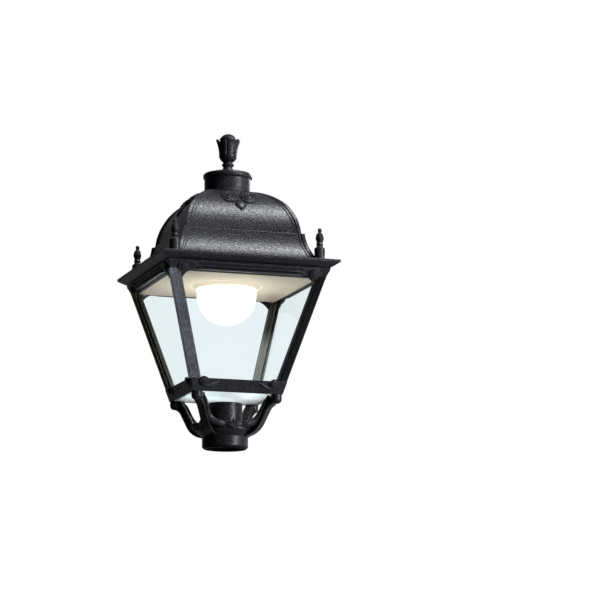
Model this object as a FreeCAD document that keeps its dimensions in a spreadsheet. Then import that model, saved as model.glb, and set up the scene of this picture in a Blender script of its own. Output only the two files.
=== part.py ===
import FreeCAD, Part
import math
import os
from types import SimpleNamespace

import Sketcher
from FreeCAD import Placement, Rotation, Vector

os.makedirs("parts", exist_ok=True)
doc = FreeCAD.newDocument("post_lantern")

# Sizes in millimetres; a name that ends in level is a height above the foot of the collar
SIZES = (
    # Socket, dish and neck
    ("spigot_radius", 30.0),
    ("socket_clearance", 0.5),
    ("socket_wall", 6.0),
    ("socket_depth", 36.0),
    ("socket_shoulder", 4.0),
    ("collar_height", 18.6),
    ("collar_chamfer", 3.0),
    ("dish_radius", 48.0),
    ("dish_under_level", 25.6),
    ("dish_rim_level", 37.0),
    ("dish_lip", 3.0),
    ("dish_wall", 4.0),
    ("dish_floor_level", 27.6),
    ("neck_radius", 27.0),
    ("neck_wall", 4.0),
    ("neck_top_level", 72.6),
    ("set_screw_radius", 3.0),
    ("set_screw_level", 9.0),
    ("set_screw_back", 0.3),
    ("set_screw_proud", 0.5),
    ("set_screw_clearance", 0.05),
    # Scroll arms and feet
    ("arm_width", 13.0),
    ("arm_web", 9.0),
    ("arm_bead", 3.0),
    ("arm_root_reach", 33.5),
    ("arm_spring_reach", 40.0),
    ("arm_root_low_level", 19.1),
    ("arm_root_high_level", 37.6),
    ("arm_knee_reach", 66.0),
    ("arm_knee_level", 36.1),
    ("arm_knee_bend", 37.0),
    ("arm_hip_reach", 77.0),
    ("arm_hip_level", 56.1),
    ("arm_hip_bend", 18.0),
    ("arm_toe_reach", 86.0),
    ("arm_toe_level", 65.6),
    ("arm_crook_reach", 60.5),
    ("arm_crook_level", 48.1),
    ("arm_crook_bend", 20.0),
    ("arm_throat_reach", 46.0),
    ("arm_top_reach", 79.0),
    ("foot_half", 64.5),
    ("foot_radius", 8.8),
    ("foot_shoulder_level", 73.6),
    ("foot_drop", 6.0),
    ("foot_bend", 7.0),
    ("foot_flat", 3.0),
    # Glazed cage
    ("cage_bottom_level", 81.6),
    ("cage_height", 195.0),
    ("cage_bottom_half", 72.7),
    ("cage_top_half", 130.8),
    ("lower_rail_height", 19.5),
    ("upper_rail_low_below_top", 14.0),
    ("post_leg", 16.5),
    ("post_ridge", 11.5),
    ("post_step", 0.8),
    ("post_nose", 3.0),
    ("rail_lip", 3.2),
    ("pane_thickness", 3.8),
    ("pane_clearance", 0.2),
    ("post_back", 3.4),
    ("pane_core", 8.0),
    ("pane_tuck", 6.0),
    ("floor_lip", 3.4),
    ("bottom_pane_thickness", 4.0),
    ("rail_back", 3.4),
    ("moulding_step", 0.8),
    ("moulding_low_below_top", 9.8),
    ("moulding_high_below_top", 5.8),
    ("upper_rail_depth", 13.6),
    ("seal_height", 0.7),
    ("seal_inset", 3.0),
    ("seal_width", 7.0),
    ("roof_gap", 0.3),
    # Buttons and gussets on the rails
    ("button_radius", 7.2),
    ("button_rise", 2.6),
    ("button_boss_radius", 4.4),
    ("button_boss_rise", 3.8),
    ("upper_button_inset", 21.7),
    ("upper_button_below_top", 11.0),
    ("lower_button_inset", 20.5),
    ("lower_button_height", 15.5),
    ("gusset_drop", 13.0),
    ("gusset_run", 17.0),
    ("gusset_bend", 24.0),
    ("gusset_thickness", 2.8),
    # Roof shell
    ("eave_overhang", 13.6),
    ("eave_top_above_cage", 12.5),
    ("eave_edge", 4.0),
    ("eave_foot_margin", 1.5),
    ("tier_foot_inset", 32.9),
    ("tier_swell", 50.5),
    ("tier_waist_inset", 38.0),
    ("tier_waist_above_cage", 27.4),
    ("tier_cove", 82.7),
    ("tier_inset", 47.4),
    ("tier_top_above_cage", 59.0),
    ("dome_step", 4.6),
    ("dome_low_bend", 90.0),
    ("dome_mid_inset", 17.1),
    ("dome_mid_above_cage", 106.0),
    ("dome_high_bend", 80.0),
    ("crown_margin", 0.5),
    ("crown_above_cage", 134.0),
    ("roof_wall", 4.0),
    ("cavity_inset", 5.5),
    ("rib_rise", 2.2),
    ("rib_band", 7.8),
    ("rib_border_rise", 0.9),
    ("rib_border_band", 12.7),
    ("rosette_radius", 11.5),
    ("rosette_rise", 4.0),
    ("rosette_spread", 15.5),
    ("rosette_inset", 33.0),
    ("rosette_above_cage", 122.0),
    # Chimney, cap and petal finial
    ("chimney_radius", 37.5),
    ("chimney_wall", 4.0),
    ("chimney_top_above_cage", 158.5),
    ("chimney_ring_radius", 39.0),
    ("chimney_ring_height", 4.0),
    ("cap_radius", 39.6),
    ("cap_bevel", 4.0),
    ("cap_edge_above_cage", 168.4),
    ("cap_top_above_cage", 170.0),
    ("cap_crown_radius", 30.0),
    ("cap_spigot_depth", 6.0),
    ("cap_spigot_clearance", 0.3),
    ("finial_base_radius", 15.0),
    ("finial_base_bend", 14.0),
    ("finial_neck_radius", 8.0),
    ("finial_neck_above_cage", 178.6),
    ("finial_ring_low_above_cage", 180.7),
    ("finial_ring_high_above_cage", 186.0),
    ("finial_ring_bend", 2.8),
    ("finial_waist_above_cage", 188.2),
    ("finial_bowl_radius", 14.5),
    ("finial_bowl_above_cage", 201.0),
    ("finial_bowl_bend", 13.0),
    ("petal_radius", 19.8),
    ("petal_above_cage", 224.0),
    ("petal_bend", 80.0),
    ("petal_count", 8),
    ("petal_notch", 3.6),
    ("petal_notch_above_cage", 217.0),
    ("flute_radius", 2.4),
    ("flute_out", 0.5),
    ("flute_low_above_cage", 199.5),
    ("bud_radius", 13.0),
    ("bud_seat_above_cage", 217.5),
    ("bud_shoulder_above_cage", 227.0),
    ("bud_bend", 14.6),
    ("finial_top_above_cage", 234.5),
    ("rod_radius", 4.0),
    ("rod_clearance", 0.1),
    ("rod_top_above_cage", 199.0),
    ("rod_tail", 12.0),
    ("nut_radius", 8.0),
    ("nut_height", 6.0),
    # Corner finials
    ("corner_inset", 26.5),
    ("corner_spigot_radius", 4.0),
    ("corner_spigot_depth", 6.0),
    ("corner_spigot_clearance", 0.1),
    ("corner_base_radius", 8.5),
    ("corner_base_height", 20.0),
    ("corner_base_relief", 0.2),
    ("corner_neck_radius", 4.6),
    ("corner_neck_height", 24.0),
    ("corner_bead_radius", 5.8),
    ("corner_bead_height", 27.0),
    ("corner_waist_height", 29.5),
    ("corner_urn_radius", 6.75),
    ("corner_urn_height", 36.5),
    ("corner_lip_radius", 5.4),
    ("corner_lip_height", 43.0),
    ("corner_throat_radius", 2.6),
    ("corner_throat_height", 46.4),
    ("corner_ball_radius", 3.4),
    ("corner_top_height", 52.9),
    # Hinge at the back
    ("hinge_offset", 6.2),
    ("hinge_below_top", 5.0),
    ("hinge_barrel", 4.0),
    ("hinge_pin_radius", 2.0),
    ("hinge_clearance", 0.06),
    ("hinge_spread", 60.0),
    ("hinge_knuckle", 12.0),
    ("hinge_wing", 9.0),
    ("hinge_side_gap", 0.4),
    ("hinge_pin_head", 1.0),
    ("hinge_plate", 2.4),
    ("hinge_plate_low_below_top", 13.0),
    ("hinge_stand_off", 0.2),
    # Reflector, lampholder and bulb
    ("reflector_room", 2.4),
    ("reflector_below_top", 15.0),
    ("reflector_sheet", 1.5),
    ("reflector_ring_margin", 8.5),
    ("reflector_hole_margin", 1.5),
    ("reflector_ring_drop", 5.5),
    ("boss_inset", 7.0),
    ("boss_radius", 4.5),
    ("reflector_screw_radius", 2.0),
    ("reflector_screw_head", 3.6),
    ("reflector_screw_rise", 2.0),
    ("reflector_screw_length", 10.0),
    ("reflector_screw_clearance", 0.1),
    ("globe_radius", 47.5),
    ("globe_below_top", 30.0),
    ("bulb_neck_radius", 17.0),
    ("bulb_neck_above_cage", 20.0),
    ("bulb_cap_radius", 13.2),
    ("bulb_cap_above_cage", 31.0),
    ("bulb_top_above_cage", 56.0),
    ("holder_radius", 21.0),
    ("holder_low_above_cage", 32.0),
    ("holder_height", 40.0),
    ("holder_clearance", 0.6),
    ("bracket_margin", 10.0),
    ("bracket_width", 26.0),
    ("bracket_sheet", 2.0),
    ("bracket_foot", 16.0),
    ("terminal_length", 34.0),
    ("terminal_width", 20.0),
    ("terminal_height", 15.0),
    ("spring_spread", 50.0),
    ("spring_width", 14.0),
    ("spring_sheet", 0.6),
    ("spring_gap", 0.3),
    ("spring_low_below_top", 12.0),
    ("spring_high_below_top", 2.0),
    # Reach past a face for a clean cut
    ("overrun", 5.0),
)


class Size:
    """A number together with the spreadsheet expression that gives it."""

    def __init__(self, value, text):
        self.value = float(value)
        self.text = text

    def join(self, sign, other, value):
        return Size(value, "(%s %s %s)" % (self.text, sign, as_size(other).text))

    def __add__(self, other):
        return self.join("+", other, self.value + as_size(other).value)

    def __sub__(self, other):
        return self.join("-", other, self.value - as_size(other).value)

    def __mul__(self, other):
        return self.join("*", other, self.value * as_size(other).value)

    def __truediv__(self, other):
        return self.join("/", other, self.value / as_size(other).value)

    def __neg__(self):
        return Size(-self.value, "(0 - %s)" % self.text)


def as_size(number):
    return number if isinstance(number, Size) else Size(number, "(%r)" % float(number))


sheet = doc.addObject("Spreadsheet::Sheet", "Sizes")
for row, (name, value) in enumerate(SIZES, start=1):
    sheet.set("A%d" % row, name)
    sheet.set("B%d" % row, str(value))
    sheet.setAlias("B%d" % row, name)
doc.recompute()
d = SimpleNamespace(**{name: Size(value, "Sizes." + name) for name, value in SIZES})

# Sizes that follow from others
d.cage_top_level = d.cage_bottom_level + d.cage_height
d.lower_rail_top_level = d.cage_bottom_level + d.lower_rail_height
d.lower_button_level = d.cage_bottom_level + d.lower_button_height
for name, value in SIZES:
    if name.endswith("_above_cage"):
        setattr(d, name.replace("_above_cage", "_level"), d.cage_top_level + getattr(d, name))
    if name.endswith("_below_top"):
        setattr(d, name.replace("_below_top", "_level"), d.cage_top_level - getattr(d, name))
d.upper_opening_half = d.cage_top_half - d.upper_rail_depth
d.eave_half = d.cage_top_half + d.eave_overhang
d.tier_foot_half = d.eave_half - d.tier_foot_inset
d.tier_waist_half = d.eave_half - d.tier_waist_inset
d.tier_half = d.eave_half - d.tier_inset
d.dome_half = d.tier_half - d.dome_step
d.dome_mid_half = d.dome_half - d.dome_mid_inset
d.crown_half = d.chimney_radius + d.crown_margin
d.cavity_half = d.tier_foot_half - d.cavity_inset
d.rosette_half = d.dome_half - d.rosette_inset
d.corner_half = d.eave_half - d.corner_inset
d.hinge_reach = d.cage_top_half + d.hinge_offset
d.reflector_half = d.upper_opening_half - d.reflector_room
d.reflector_ring_radius = d.globe_radius + d.reflector_ring_margin
d.reflector_hole_radius = d.globe_radius + d.reflector_hole_margin
d.boss_half = d.reflector_half - d.boss_inset
d.bracket_half = d.reflector_ring_radius + d.bracket_margin
ZERO = as_size(0.0)
SIDES = (0, 1, 2, 3)
QUARTER = 90.0


# Helpers for placing, drawing and joining
def bind(item, prop, size):
    item.setExpression(prop, as_size(size).text)


def place(item, x, y, z, rotation=None):
    spot = Vector(as_size(x).value, as_size(y).value, as_size(z).value)
    item.Placement = Placement(spot, rotation or Rotation())
    bind(item, "Placement.Base.x", x)
    bind(item, "Placement.Base.y", y)
    bind(item, "Placement.Base.z", z)
    return item


def upright(turn):
    """Rotation of a drawing that stands on the axis: its x runs outward at this turn, its y runs up."""
    return Rotation(Vector(0, 0, 1), turn).multiply(Rotation(Vector(1, 0, 0), QUARTER))


def around(side, x, y):
    """A spot on the front side carried to one of the four sides."""
    return ((x, y), (-y, x), (-x, -y), (y, -x))[side]


def bent(start, end, radius, turn):
    """Arc from start to end; turn is 1 for anticlockwise and -1 for clockwise."""
    chord = end - start
    across = Vector(-chord.y, chord.x, 0).normalize() * turn
    height = math.sqrt(max(radius ** 2 - (chord.Length / 2) ** 2, 0.0))
    centre = start + chord / 2 + across * height
    first, last = (start, end) if turn > 0 else (end, start)
    begin = math.atan2(first.y - centre.y, first.x - centre.x)
    finish = math.atan2(last.y - centre.y, last.x - centre.x)
    if finish < begin:
        finish += 2 * math.pi
    return Part.ArcOfCircle(Part.Circle(centre, Vector(0, 0, 1), radius), begin, finish)


def pin(edge, end, x, y):
    """Constraints that fix one end of an edge at x, y, each with its expression."""
    made = []
    for kind, size, axis in (("DistanceX", x, -2), ("DistanceY", y, -1)):
        if abs(size.value) < 1e-9:
            made.append((Sketcher.Constraint("PointOnObject", edge, end, axis), None))
        else:
            made.append((Sketcher.Constraint(kind, -1, 1, edge, end, size.value), size.text))
    return made


def draw(sketch, corners):
    """Closed outline; a corner is (x, y) or (x, y, radius, turn), where the edge that leaves it is an arc."""
    spots = [Vector(as_size(c[0]).value, as_size(c[1]).value, 0) for c in corners]
    edges, ends, bends = [], [], []
    for index, corner in enumerate(corners):
        start, end = spots[index], spots[(index + 1) % len(spots)]
        if len(corner) == 2:
            edges.append(Part.LineSegment(start, end))
            ends.append((1, 2))
            continue
        radius, turn = as_size(corner[2]), corner[3]
        edges.append(bent(start, end, radius.value, turn))
        ends.append((1, 2) if turn > 0 else (2, 1))
        bends.append((Sketcher.Constraint("Radius", index, radius.value), radius.text))
    sketch.addGeometry(edges, False)
    rules = []
    for index, corner in enumerate(corners):
        following = (index + 1) % len(corners)
        meeting = (index, ends[index][1], following, ends[following][0])
        rules.append((Sketcher.Constraint("Coincident", *meeting), None))
    for index, corner in enumerate(corners):
        rules += pin(index, ends[index][0], as_size(corner[0]), as_size(corner[1]))
    rules += bends
    sketch.addConstraint([rule for rule, text in rules])
    for index, (rule, text) in enumerate(rules):
        if text:
            sketch.setExpression("Constraints[%d]" % index, text)
    return sketch


def drawing(label, rotation, corners, x=ZERO, y=ZERO, z=ZERO):
    sketch = doc.addObject("Sketcher::SketchObject", label)
    place(sketch, x, y, z, rotation)
    return draw(sketch, corners)


def run(label, sketch, length, both_ways=True):
    """Solid made by running a drawing along its normal."""
    made = doc.addObject("Part::Extrusion", label)
    made.Base = sketch
    made.DirMode = "Normal"
    made.Symmetric = both_ways
    made.Solid = True
    bind(made, "LengthFwd", length)
    return made


def cylinder(label, radius, height, x, y, z, rotation=None):
    made = doc.addObject("Part::Cylinder", label)
    bind(made, "Radius", radius)
    bind(made, "Height", height)
    return place(made, x, y, z, rotation)


def block(label, low, high):
    """Box from one corner to the opposite one."""
    made = doc.addObject("Part::Box", label)
    for prop, near, far in zip(("Length", "Width", "Height"), low, high):
        bind(made, prop, as_size(far) - near)
    return place(made, *low)


def fuse(label, items):
    made = doc.addObject("Part::MultiFuse", label)
    made.Shapes = items
    made.Refine = True
    return made


def group(label, items):
    made = doc.addObject("Part::Compound", label)
    made.Links = items
    return made


def cut(label, base, tool):
    made = doc.addObject("Part::Cut", label)
    made.Base = base
    made.Tool = tool
    made.Refine = True
    return made


def common(label, items):
    made = doc.addObject("Part::MultiCommon", label)
    made.Shapes = items
    made.Refine = True
    return made


def square_turned(label, half):
    """Solid whose level sections are squares, from one half of its upright outline."""
    left = []
    for index in range(len(half) - 1, -1, -1):
        arc = half[index - 1][2:] if index else ()
        left.append((-as_size(half[index][0]), half[index][1]) + tuple(arc))
    corners = [tuple(c) for c in half[:-1]] + [tuple(half[-1][:2])] + left
    bars = []
    for turn in (0.0, QUARTER):
        sketch = drawing("%s_outline_%d" % (label, turn), upright(turn), corners)
        bars.append(run("%s_run_%d" % (label, turn), sketch, d.eave_half * 4))
    return common(label, bars)


def origin_item(body, role):
    return [item for item in body.Origin.OriginFeatures if item.Role == role][0]


def new_body(label):
    return doc.addObject("PartDesign::Body", label)


def body_sketch(body, label, role, corners, lift=None):
    sketch = body.newObject("Sketcher::SketchObject", label)
    sketch.AttachmentSupport = [(origin_item(body, role), "")]
    sketch.MapMode = "FlatFace"
    if lift is not None:
        sketch.AttachmentOffset = Placement(Vector(0, 0, lift.value), Rotation())
        bind(sketch, "AttachmentOffset.Base.z", lift)
    return draw(sketch, corners)


def turned(label, corners):
    """Body turned about the upright axis from one half of its outline."""
    body = new_body(label)
    sketch = body_sketch(body, label + "_outline", "XZ_Plane", corners)
    spin = body.newObject("PartDesign::Revolution", label + "_turning")
    spin.Profile = sketch
    spin.ReferenceAxis = (sketch, ["V_Axis"])
    spin.Angle = 360.0
    return body


def lofted(label, low_level, low, high_level, high):
    """Body between two level outlines."""
    body = new_body(label)
    first = body_sketch(body, label + "_low", "XY_Plane", low, low_level)
    second = body_sketch(body, label + "_high", "XY_Plane", high, high_level)
    span = body.newObject("PartDesign::AdditiveLoft", label + "_span")
    span.Profile = first
    span.Sections = [second]
    span.Ruled = True
    return body


# Values that follow from the sizes
slope = (d.cage_top_half - d.cage_bottom_half) / (d.cage_top_level - d.cage_bottom_level)
lean = math.degrees(math.atan(slope.value))
socket_radius = d.spigot_radius + d.socket_clearance
collar_radius = socket_radius + d.socket_wall
neck_bore = d.neck_radius - d.neck_wall
boss_level = d.socket_depth + d.socket_shoulder
groove_far = d.rail_lip + d.pane_thickness + d.pane_clearance * 2
post_depth = groove_far + d.post_back
roof_level = d.cage_top_level + d.seal_height + d.roof_gap
PIECES = []


def face_half(level):
    """Half width of the cage at a level."""
    return d.cage_bottom_half + (as_size(level) - d.cage_bottom_level) * slope


def facing(side):
    """Rotation whose z points squarely out of a leaning face of the cage."""
    return Rotation(Vector(0, 0, 1), QUARTER * side).multiply(Rotation(Vector(1, 0, 0), QUARTER + lean))


def finish(item, label):
    item.Label = label
    doc.recompute()
    PIECES.append(item)
    return item


# Base casting: socket, dish and neck turned in one outline
hub = turned("hub", [
    (socket_radius, ZERO),
    (collar_radius - d.collar_chamfer, ZERO),
    (collar_radius, d.collar_chamfer),
    (collar_radius, d.collar_height),
    (d.dish_radius - d.dish_lip, d.dish_under_level),
    (d.dish_radius, d.dish_under_level + d.dish_lip),
    (d.dish_radius, d.dish_rim_level - d.dish_lip),
    (d.dish_radius - d.dish_wall, d.dish_rim_level),
    (d.dish_radius - d.dish_wall * 2, d.dish_rim_level - d.dish_lip),
    (collar_radius, d.dish_floor_level),
    (collar_radius, boss_level),
    (d.neck_radius, boss_level),
    (d.neck_radius, d.neck_top_level),
    (neck_bore, d.neck_top_level),
    (neck_bore, d.socket_depth),
    (socket_radius, d.socket_depth),
])

# Scroll arms: one outline, thin in the middle and full width along its edge
DIAGONAL = math.sqrt(2)
foot_reach = d.foot_half * DIAGONAL
arm_outline = [
    (d.arm_root_reach, d.arm_root_low_level),
    (d.arm_spring_reach, d.arm_root_low_level, d.arm_knee_bend, 1),
    (d.arm_knee_reach, d.arm_knee_level),
    (d.arm_hip_reach, d.arm_hip_level, d.arm_hip_bend, -1),
    (d.arm_toe_reach, d.arm_toe_level),
    (foot_reach, d.arm_toe_level + d.foot_drop),
    (foot_reach, d.foot_shoulder_level),
    (d.arm_top_reach, d.cage_bottom_level),
    (d.arm_crook_reach, d.arm_crook_level, d.arm_crook_bend, -1),
    (d.arm_throat_reach, d.arm_root_high_level),
    (d.arm_root_reach, d.arm_root_high_level),
]
limbs = []
for side in SIDES:
    tag = "arm_%d" % side
    outline = drawing(tag + "_outline", upright(QUARTER * (side + 0.5)), arm_outline)
    outline.recompute()
    middle = outline.Shape.Wires[0].makeOffset2D(-d.arm_bead.value, 0, False, False, False)
    away = outline.Placement.Rotation.multVec(Vector(0, 0, d.arm_web.value / 2))
    hollows = []
    for sign in (1, -1):
        inner = doc.addObject("Part::Feature", "%s_inner_%d" % (tag, len(hollows)))
        inner.Shape = middle.translated(away * sign)
        hollow = run("%s_hollow_%d" % (tag, len(hollows)), inner, d.arm_width, False)
        hollow.Reversed = sign < 0
        hollows.append(hollow)
    bar = cut(tag, run(tag + "_full", outline, d.arm_width), fuse(tag + "_hollows", hollows))
    toe = turned(tag + "_toe", [
        (ZERO, d.foot_shoulder_level - d.foot_drop),
        (d.foot_flat, d.foot_shoulder_level - d.foot_drop, d.foot_bend, 1),
        (d.foot_radius, d.foot_shoulder_level),
        (d.foot_radius, d.cage_bottom_level),
        (ZERO, d.cage_bottom_level),
    ])
    x, y = around(side, d.foot_half, d.foot_half)
    limbs += [bar, place(toe, x, y, ZERO)]
SCREW_TURNS = (Rotation(Vector(0, 1, 0), QUARTER), Rotation(Vector(1, 0, 0), -QUARTER))
screw_start = socket_radius + d.set_screw_back
screw_length = collar_radius + d.set_screw_proud - screw_start
screw_spots = ((screw_start, ZERO), (ZERO, screw_start))
tools = []
screws = []
for index, (x, y) in enumerate(screw_spots):
    turn = SCREW_TURNS[index]
    tools.append(cylinder("screw_hole_%d" % index, d.set_screw_radius + d.set_screw_clearance,
                          collar_radius + d.overrun, ZERO, ZERO, d.set_screw_level, turn))
    screws.append(cylinder("set_screw_%d" % index, d.set_screw_radius, screw_length,
                           x, y, d.set_screw_level, turn))
finish(fuse("base_joined", [cut("hub_cut", hub, fuse("screw_holes", tools))] + limbs), "base_casting")
finish(group("screw_pair", screws), "set_screws")


# Rails: a leaning ring with a slot for the panes
def slot_ring(label, low, high):
    sides = []
    for part, inset in (("far", d.rail_lip), ("near", groove_far)):
        outline = [(face_half(low) - inset, low), (face_half(high) - inset, high)]
        sides.append(square_turned(label + "_" + part, outline))
    return cut(label, sides[0], sides[1])


def buttons(label, inset, level):
    """Two round buttons with a raised middle on every face."""
    made = []
    for side in SIDES:
        for sign in (-1, 1):
            x, y = around(side, (face_half(level) - inset) * sign, -face_half(level))
            discs = ((d.button_radius, d.button_rise), (d.button_boss_radius, d.button_boss_rise))
            for radius, rise in discs:
                made.append(cylinder("%s_%d" % (label, len(made)), radius, rise, x, y, level, facing(side)))
    return made


under = d.cage_bottom_level - d.overrun
over = d.lower_rail_top_level + d.overrun
ledge_level = d.cage_bottom_level + d.bottom_pane_thickness
rebate_half = d.cage_bottom_half - d.floor_lip
inner_back = groove_far + d.rail_back
pane_low = d.lower_rail_top_level - d.pane_tuck
lower_solid = square_turned("lower_solid", [
    (face_half(d.cage_bottom_level), d.cage_bottom_level),
    (face_half(d.lower_rail_top_level), d.lower_rail_top_level),
])
lower_opening = square_turned("lower_opening", [
    (rebate_half, under),
    (rebate_half, ledge_level),
    (face_half(ledge_level) - inner_back, ledge_level),
    (face_half(over) - inner_back, over),
])
lower_tools = [lower_opening, slot_ring("lower_slot", pane_low, over)]
lower_cut = cut("lower_cut", lower_solid, fuse("lower_tools", lower_tools))
lower_buttons = buttons("lower_button", d.lower_button_inset, d.lower_button_level)
finish(fuse("lower_joined", [lower_cut] + lower_buttons), "lower_rail")
floor_half = rebate_half - d.pane_clearance
finish(block("floor_glass", (-floor_half, -floor_half, d.cage_bottom_level),
             (floor_half, floor_half, ledge_level)), "bottom_pane")

moulding = (
    (d.upper_rail_low_level, d.moulding_low_level, -d.moulding_step / 2),
    (d.moulding_low_level, d.moulding_high_level, d.moulding_step / 2),
    (d.moulding_high_level, d.cage_top_level, d.moulding_step * 1.5),
)
upper_outline = []
for low, high, rise in moulding:
    upper_outline += [(face_half(low) + rise, low), (face_half(high) + rise, high)]
upper_solid = square_turned("upper_solid", upper_outline)
clear = d.upper_opening_half
upper_opening = block("upper_opening", (-clear, -clear, d.upper_rail_low_level - d.overrun),
                      (clear, clear, d.cage_top_level + d.overrun))
pane_high = d.upper_rail_low_level + d.pane_tuck
upper_tools = [upper_opening, slot_ring("upper_slot", d.upper_rail_low_level - d.overrun, pane_high)]
upper_cut = cut("upper_cut", upper_solid, fuse("upper_tools", upper_tools))

# Gussets hang from the upper rail beside each post
gussets = []
stretch = as_size(math.hypot(1.0, slope.value))
gusset_corner = face_half(d.upper_rail_low_level) - d.post_leg - d.pane_clearance
gusset_lean = slope / stretch
for side in SIDES:
    for sign in (-1, 1):
        corners = [
            (gusset_corner * sign, ZERO),
            ((gusset_corner - d.gusset_run) * sign, ZERO, d.gusset_bend, -sign),
            ((gusset_corner - d.gusset_drop * gusset_lean) * sign, -d.gusset_drop),
        ]
        x, y = around(side, ZERO, -(face_half(d.upper_rail_low_level) - d.gusset_thickness))
        label = "gusset_%d" % len(gussets)
        sketch = drawing(label + "_outline", facing(side), corners, x, y, d.upper_rail_low_level)
        gussets.append(run(label, sketch, d.gusset_thickness, False))
upper_buttons = buttons("upper_button", d.upper_button_inset, d.upper_button_level)
finish(fuse("upper_joined", [upper_cut] + gussets + upper_buttons), "upper_rail")

seal_far = face_half(d.cage_top_level) - d.seal_inset
seal_near = seal_far - d.seal_width
seal_top = d.cage_top_level + d.seal_height
seal_outer = block("seal_outer", (-seal_far, -seal_far, d.cage_top_level), (seal_far, seal_far, seal_top))
seal_inner = block("seal_inner", (-seal_near, -seal_near, d.cage_top_level - d.overrun),
                   (seal_near, seal_near, seal_top + d.overrun))
finish(cut("seal_ring", seal_outer, seal_inner), "roof_seal")

# Corner posts with two pane grooves and a stepped edge
post_section = (
    (d.post_nose, ZERO), (d.post_ridge, ZERO), (d.post_ridge, d.post_step), (d.post_leg, d.post_step),
    (d.post_leg, d.rail_lip), (d.pane_core, d.rail_lip), (d.pane_core, groove_far), (d.post_leg, groove_far),
    (d.post_leg, post_depth), (post_depth, post_depth),
)
half_section = list(post_section) + [(v, u) for u, v in reversed(post_section[:-1])]
POSTS = ("front_left", "front_right", "back_right", "back_left")


def post_outline(level):
    half = face_half(level)
    corners = [(u - half, v - half) for u, v in half_section]
    corners[-1] = corners[-1] + (d.post_nose, 1)
    return corners


for side, where in enumerate(POSTS):
    low, high = d.lower_rail_top_level, d.upper_rail_low_level
    post = lofted("post_" + where, low, post_outline(low), high, post_outline(high))
    post.Placement = Placement(Vector(), Rotation(Vector(0, 0, 1), QUARTER * side))
    finish(post, "corner_post_" + where)

# Side panes: tapered sheets tucked into both rails and the post grooves
PANES = ("front", "right", "back", "left")
pane_out = d.rail_lip + d.pane_clearance
pane_in = pane_out + d.pane_thickness


def pane_outline(level):
    half = face_half(level)
    edge = half - d.pane_core - d.pane_clearance
    near, far = pane_in - half, pane_out - half
    return [(-edge, far), (edge, far), (edge, near), (-edge, near)]


for side, where in enumerate(PANES):
    low, high = pane_low + d.pane_clearance, pane_high - d.pane_clearance
    pane = lofted("glass_" + where, low, pane_outline(low), high, pane_outline(high))
    pane.Placement = Placement(Vector(), Rotation(Vector(0, 0, 1), QUARTER * side))
    finish(pane, "pane_" + where)


# Roof shell: square-turned eave, ogee tier and dome
def roof_outline(rise, start):
    return start + [
        (d.tier_foot_half + rise, d.eave_top_level, d.tier_swell, 1),
        (d.tier_waist_half + rise, d.tier_waist_level, d.tier_cove, -1),
        (d.tier_half + rise, d.tier_top_level),
        (d.dome_half + rise, d.tier_top_level, d.dome_low_bend, 1),
        (d.dome_mid_half + rise, d.dome_mid_level + rise / 2, d.dome_high_bend, 1),
        (d.crown_half, d.crown_level),
    ]


eave = [
    (face_half(d.cage_top_level) + d.eave_foot_margin, roof_level),
    (d.eave_half, d.eave_top_level - d.eave_edge),
    (d.eave_half, d.eave_top_level),
]
roof_solid = square_turned("roof_solid", roof_outline(ZERO, eave))
cavity = square_turned("cavity", [
    (d.cavity_half, roof_level - d.overrun),
    (d.cavity_half, d.eave_top_level),
    (d.tier_waist_half - d.roof_wall, d.tier_waist_level, d.tier_cove, -1),
    (d.tier_half - d.roof_wall, d.tier_top_level - d.roof_wall),
    (d.dome_half - d.roof_wall, d.tier_top_level - d.roof_wall, d.dome_low_bend, 1),
    (d.dome_mid_half - d.roof_wall, d.dome_mid_level - d.roof_wall / 2, d.dome_high_bend, 1),
    (d.crown_half, d.crown_level - d.roof_wall),
])


def corner_ribs(label, rise, band):
    """Raised bands along the four corners of the tier and dome."""
    slabs = []
    corners = [
        (-d.eave_half * 2, d.eave_top_level), (d.eave_half * 2, d.eave_top_level),
        (d.eave_half * 2, d.crown_level), (-d.eave_half * 2, d.crown_level),
    ]
    for turn in (0.5, 1.5):
        slab = "%s_slab_%d" % (label, len(slabs))
        slabs.append(run(slab, drawing(slab + "_outline", upright(QUARTER * turn), corners), band))
    raised = square_turned(label + "_solid", roof_outline(rise, []))
    return common(label, [raised, fuse(label + "_slabs", slabs)])


ribs = [
    corner_ribs("rib", d.rib_rise, d.rib_band),
    corner_ribs("rib_border", d.rib_border_rise, d.rib_border_band),
]
rosettes = []
for side in SIDES:
    for sign in (-1, 1):
        x, y = around(side, d.rosette_spread * sign, -d.rosette_half)
        rose = doc.addObject("Part::Ellipsoid", "rosette_%d" % len(rosettes))
        bind(rose, "Radius1", d.rosette_rise)
        bind(rose, "Radius2", d.rosette_radius)
        bind(rose, "Radius3", d.rosette_radius)
        rosettes.append(place(rose, x, y, d.rosette_level, Rotation(Vector(0, 0, 1), QUARTER * side).multiply(
            Rotation(Vector(1, 0, 0), QUARTER / 2))))
hollow = cut("roof_hollow", fuse("roof_skin", [roof_solid] + ribs + rosettes), cavity)
reflector_top = d.reflector_level + d.reflector_sheet
bosses = []
roof_holes = [cylinder("rod_hole", d.rod_radius + d.rod_clearance, d.roof_wall + d.overrun * 2,
                       ZERO, ZERO, d.crown_level - d.roof_wall - d.overrun)]
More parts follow.
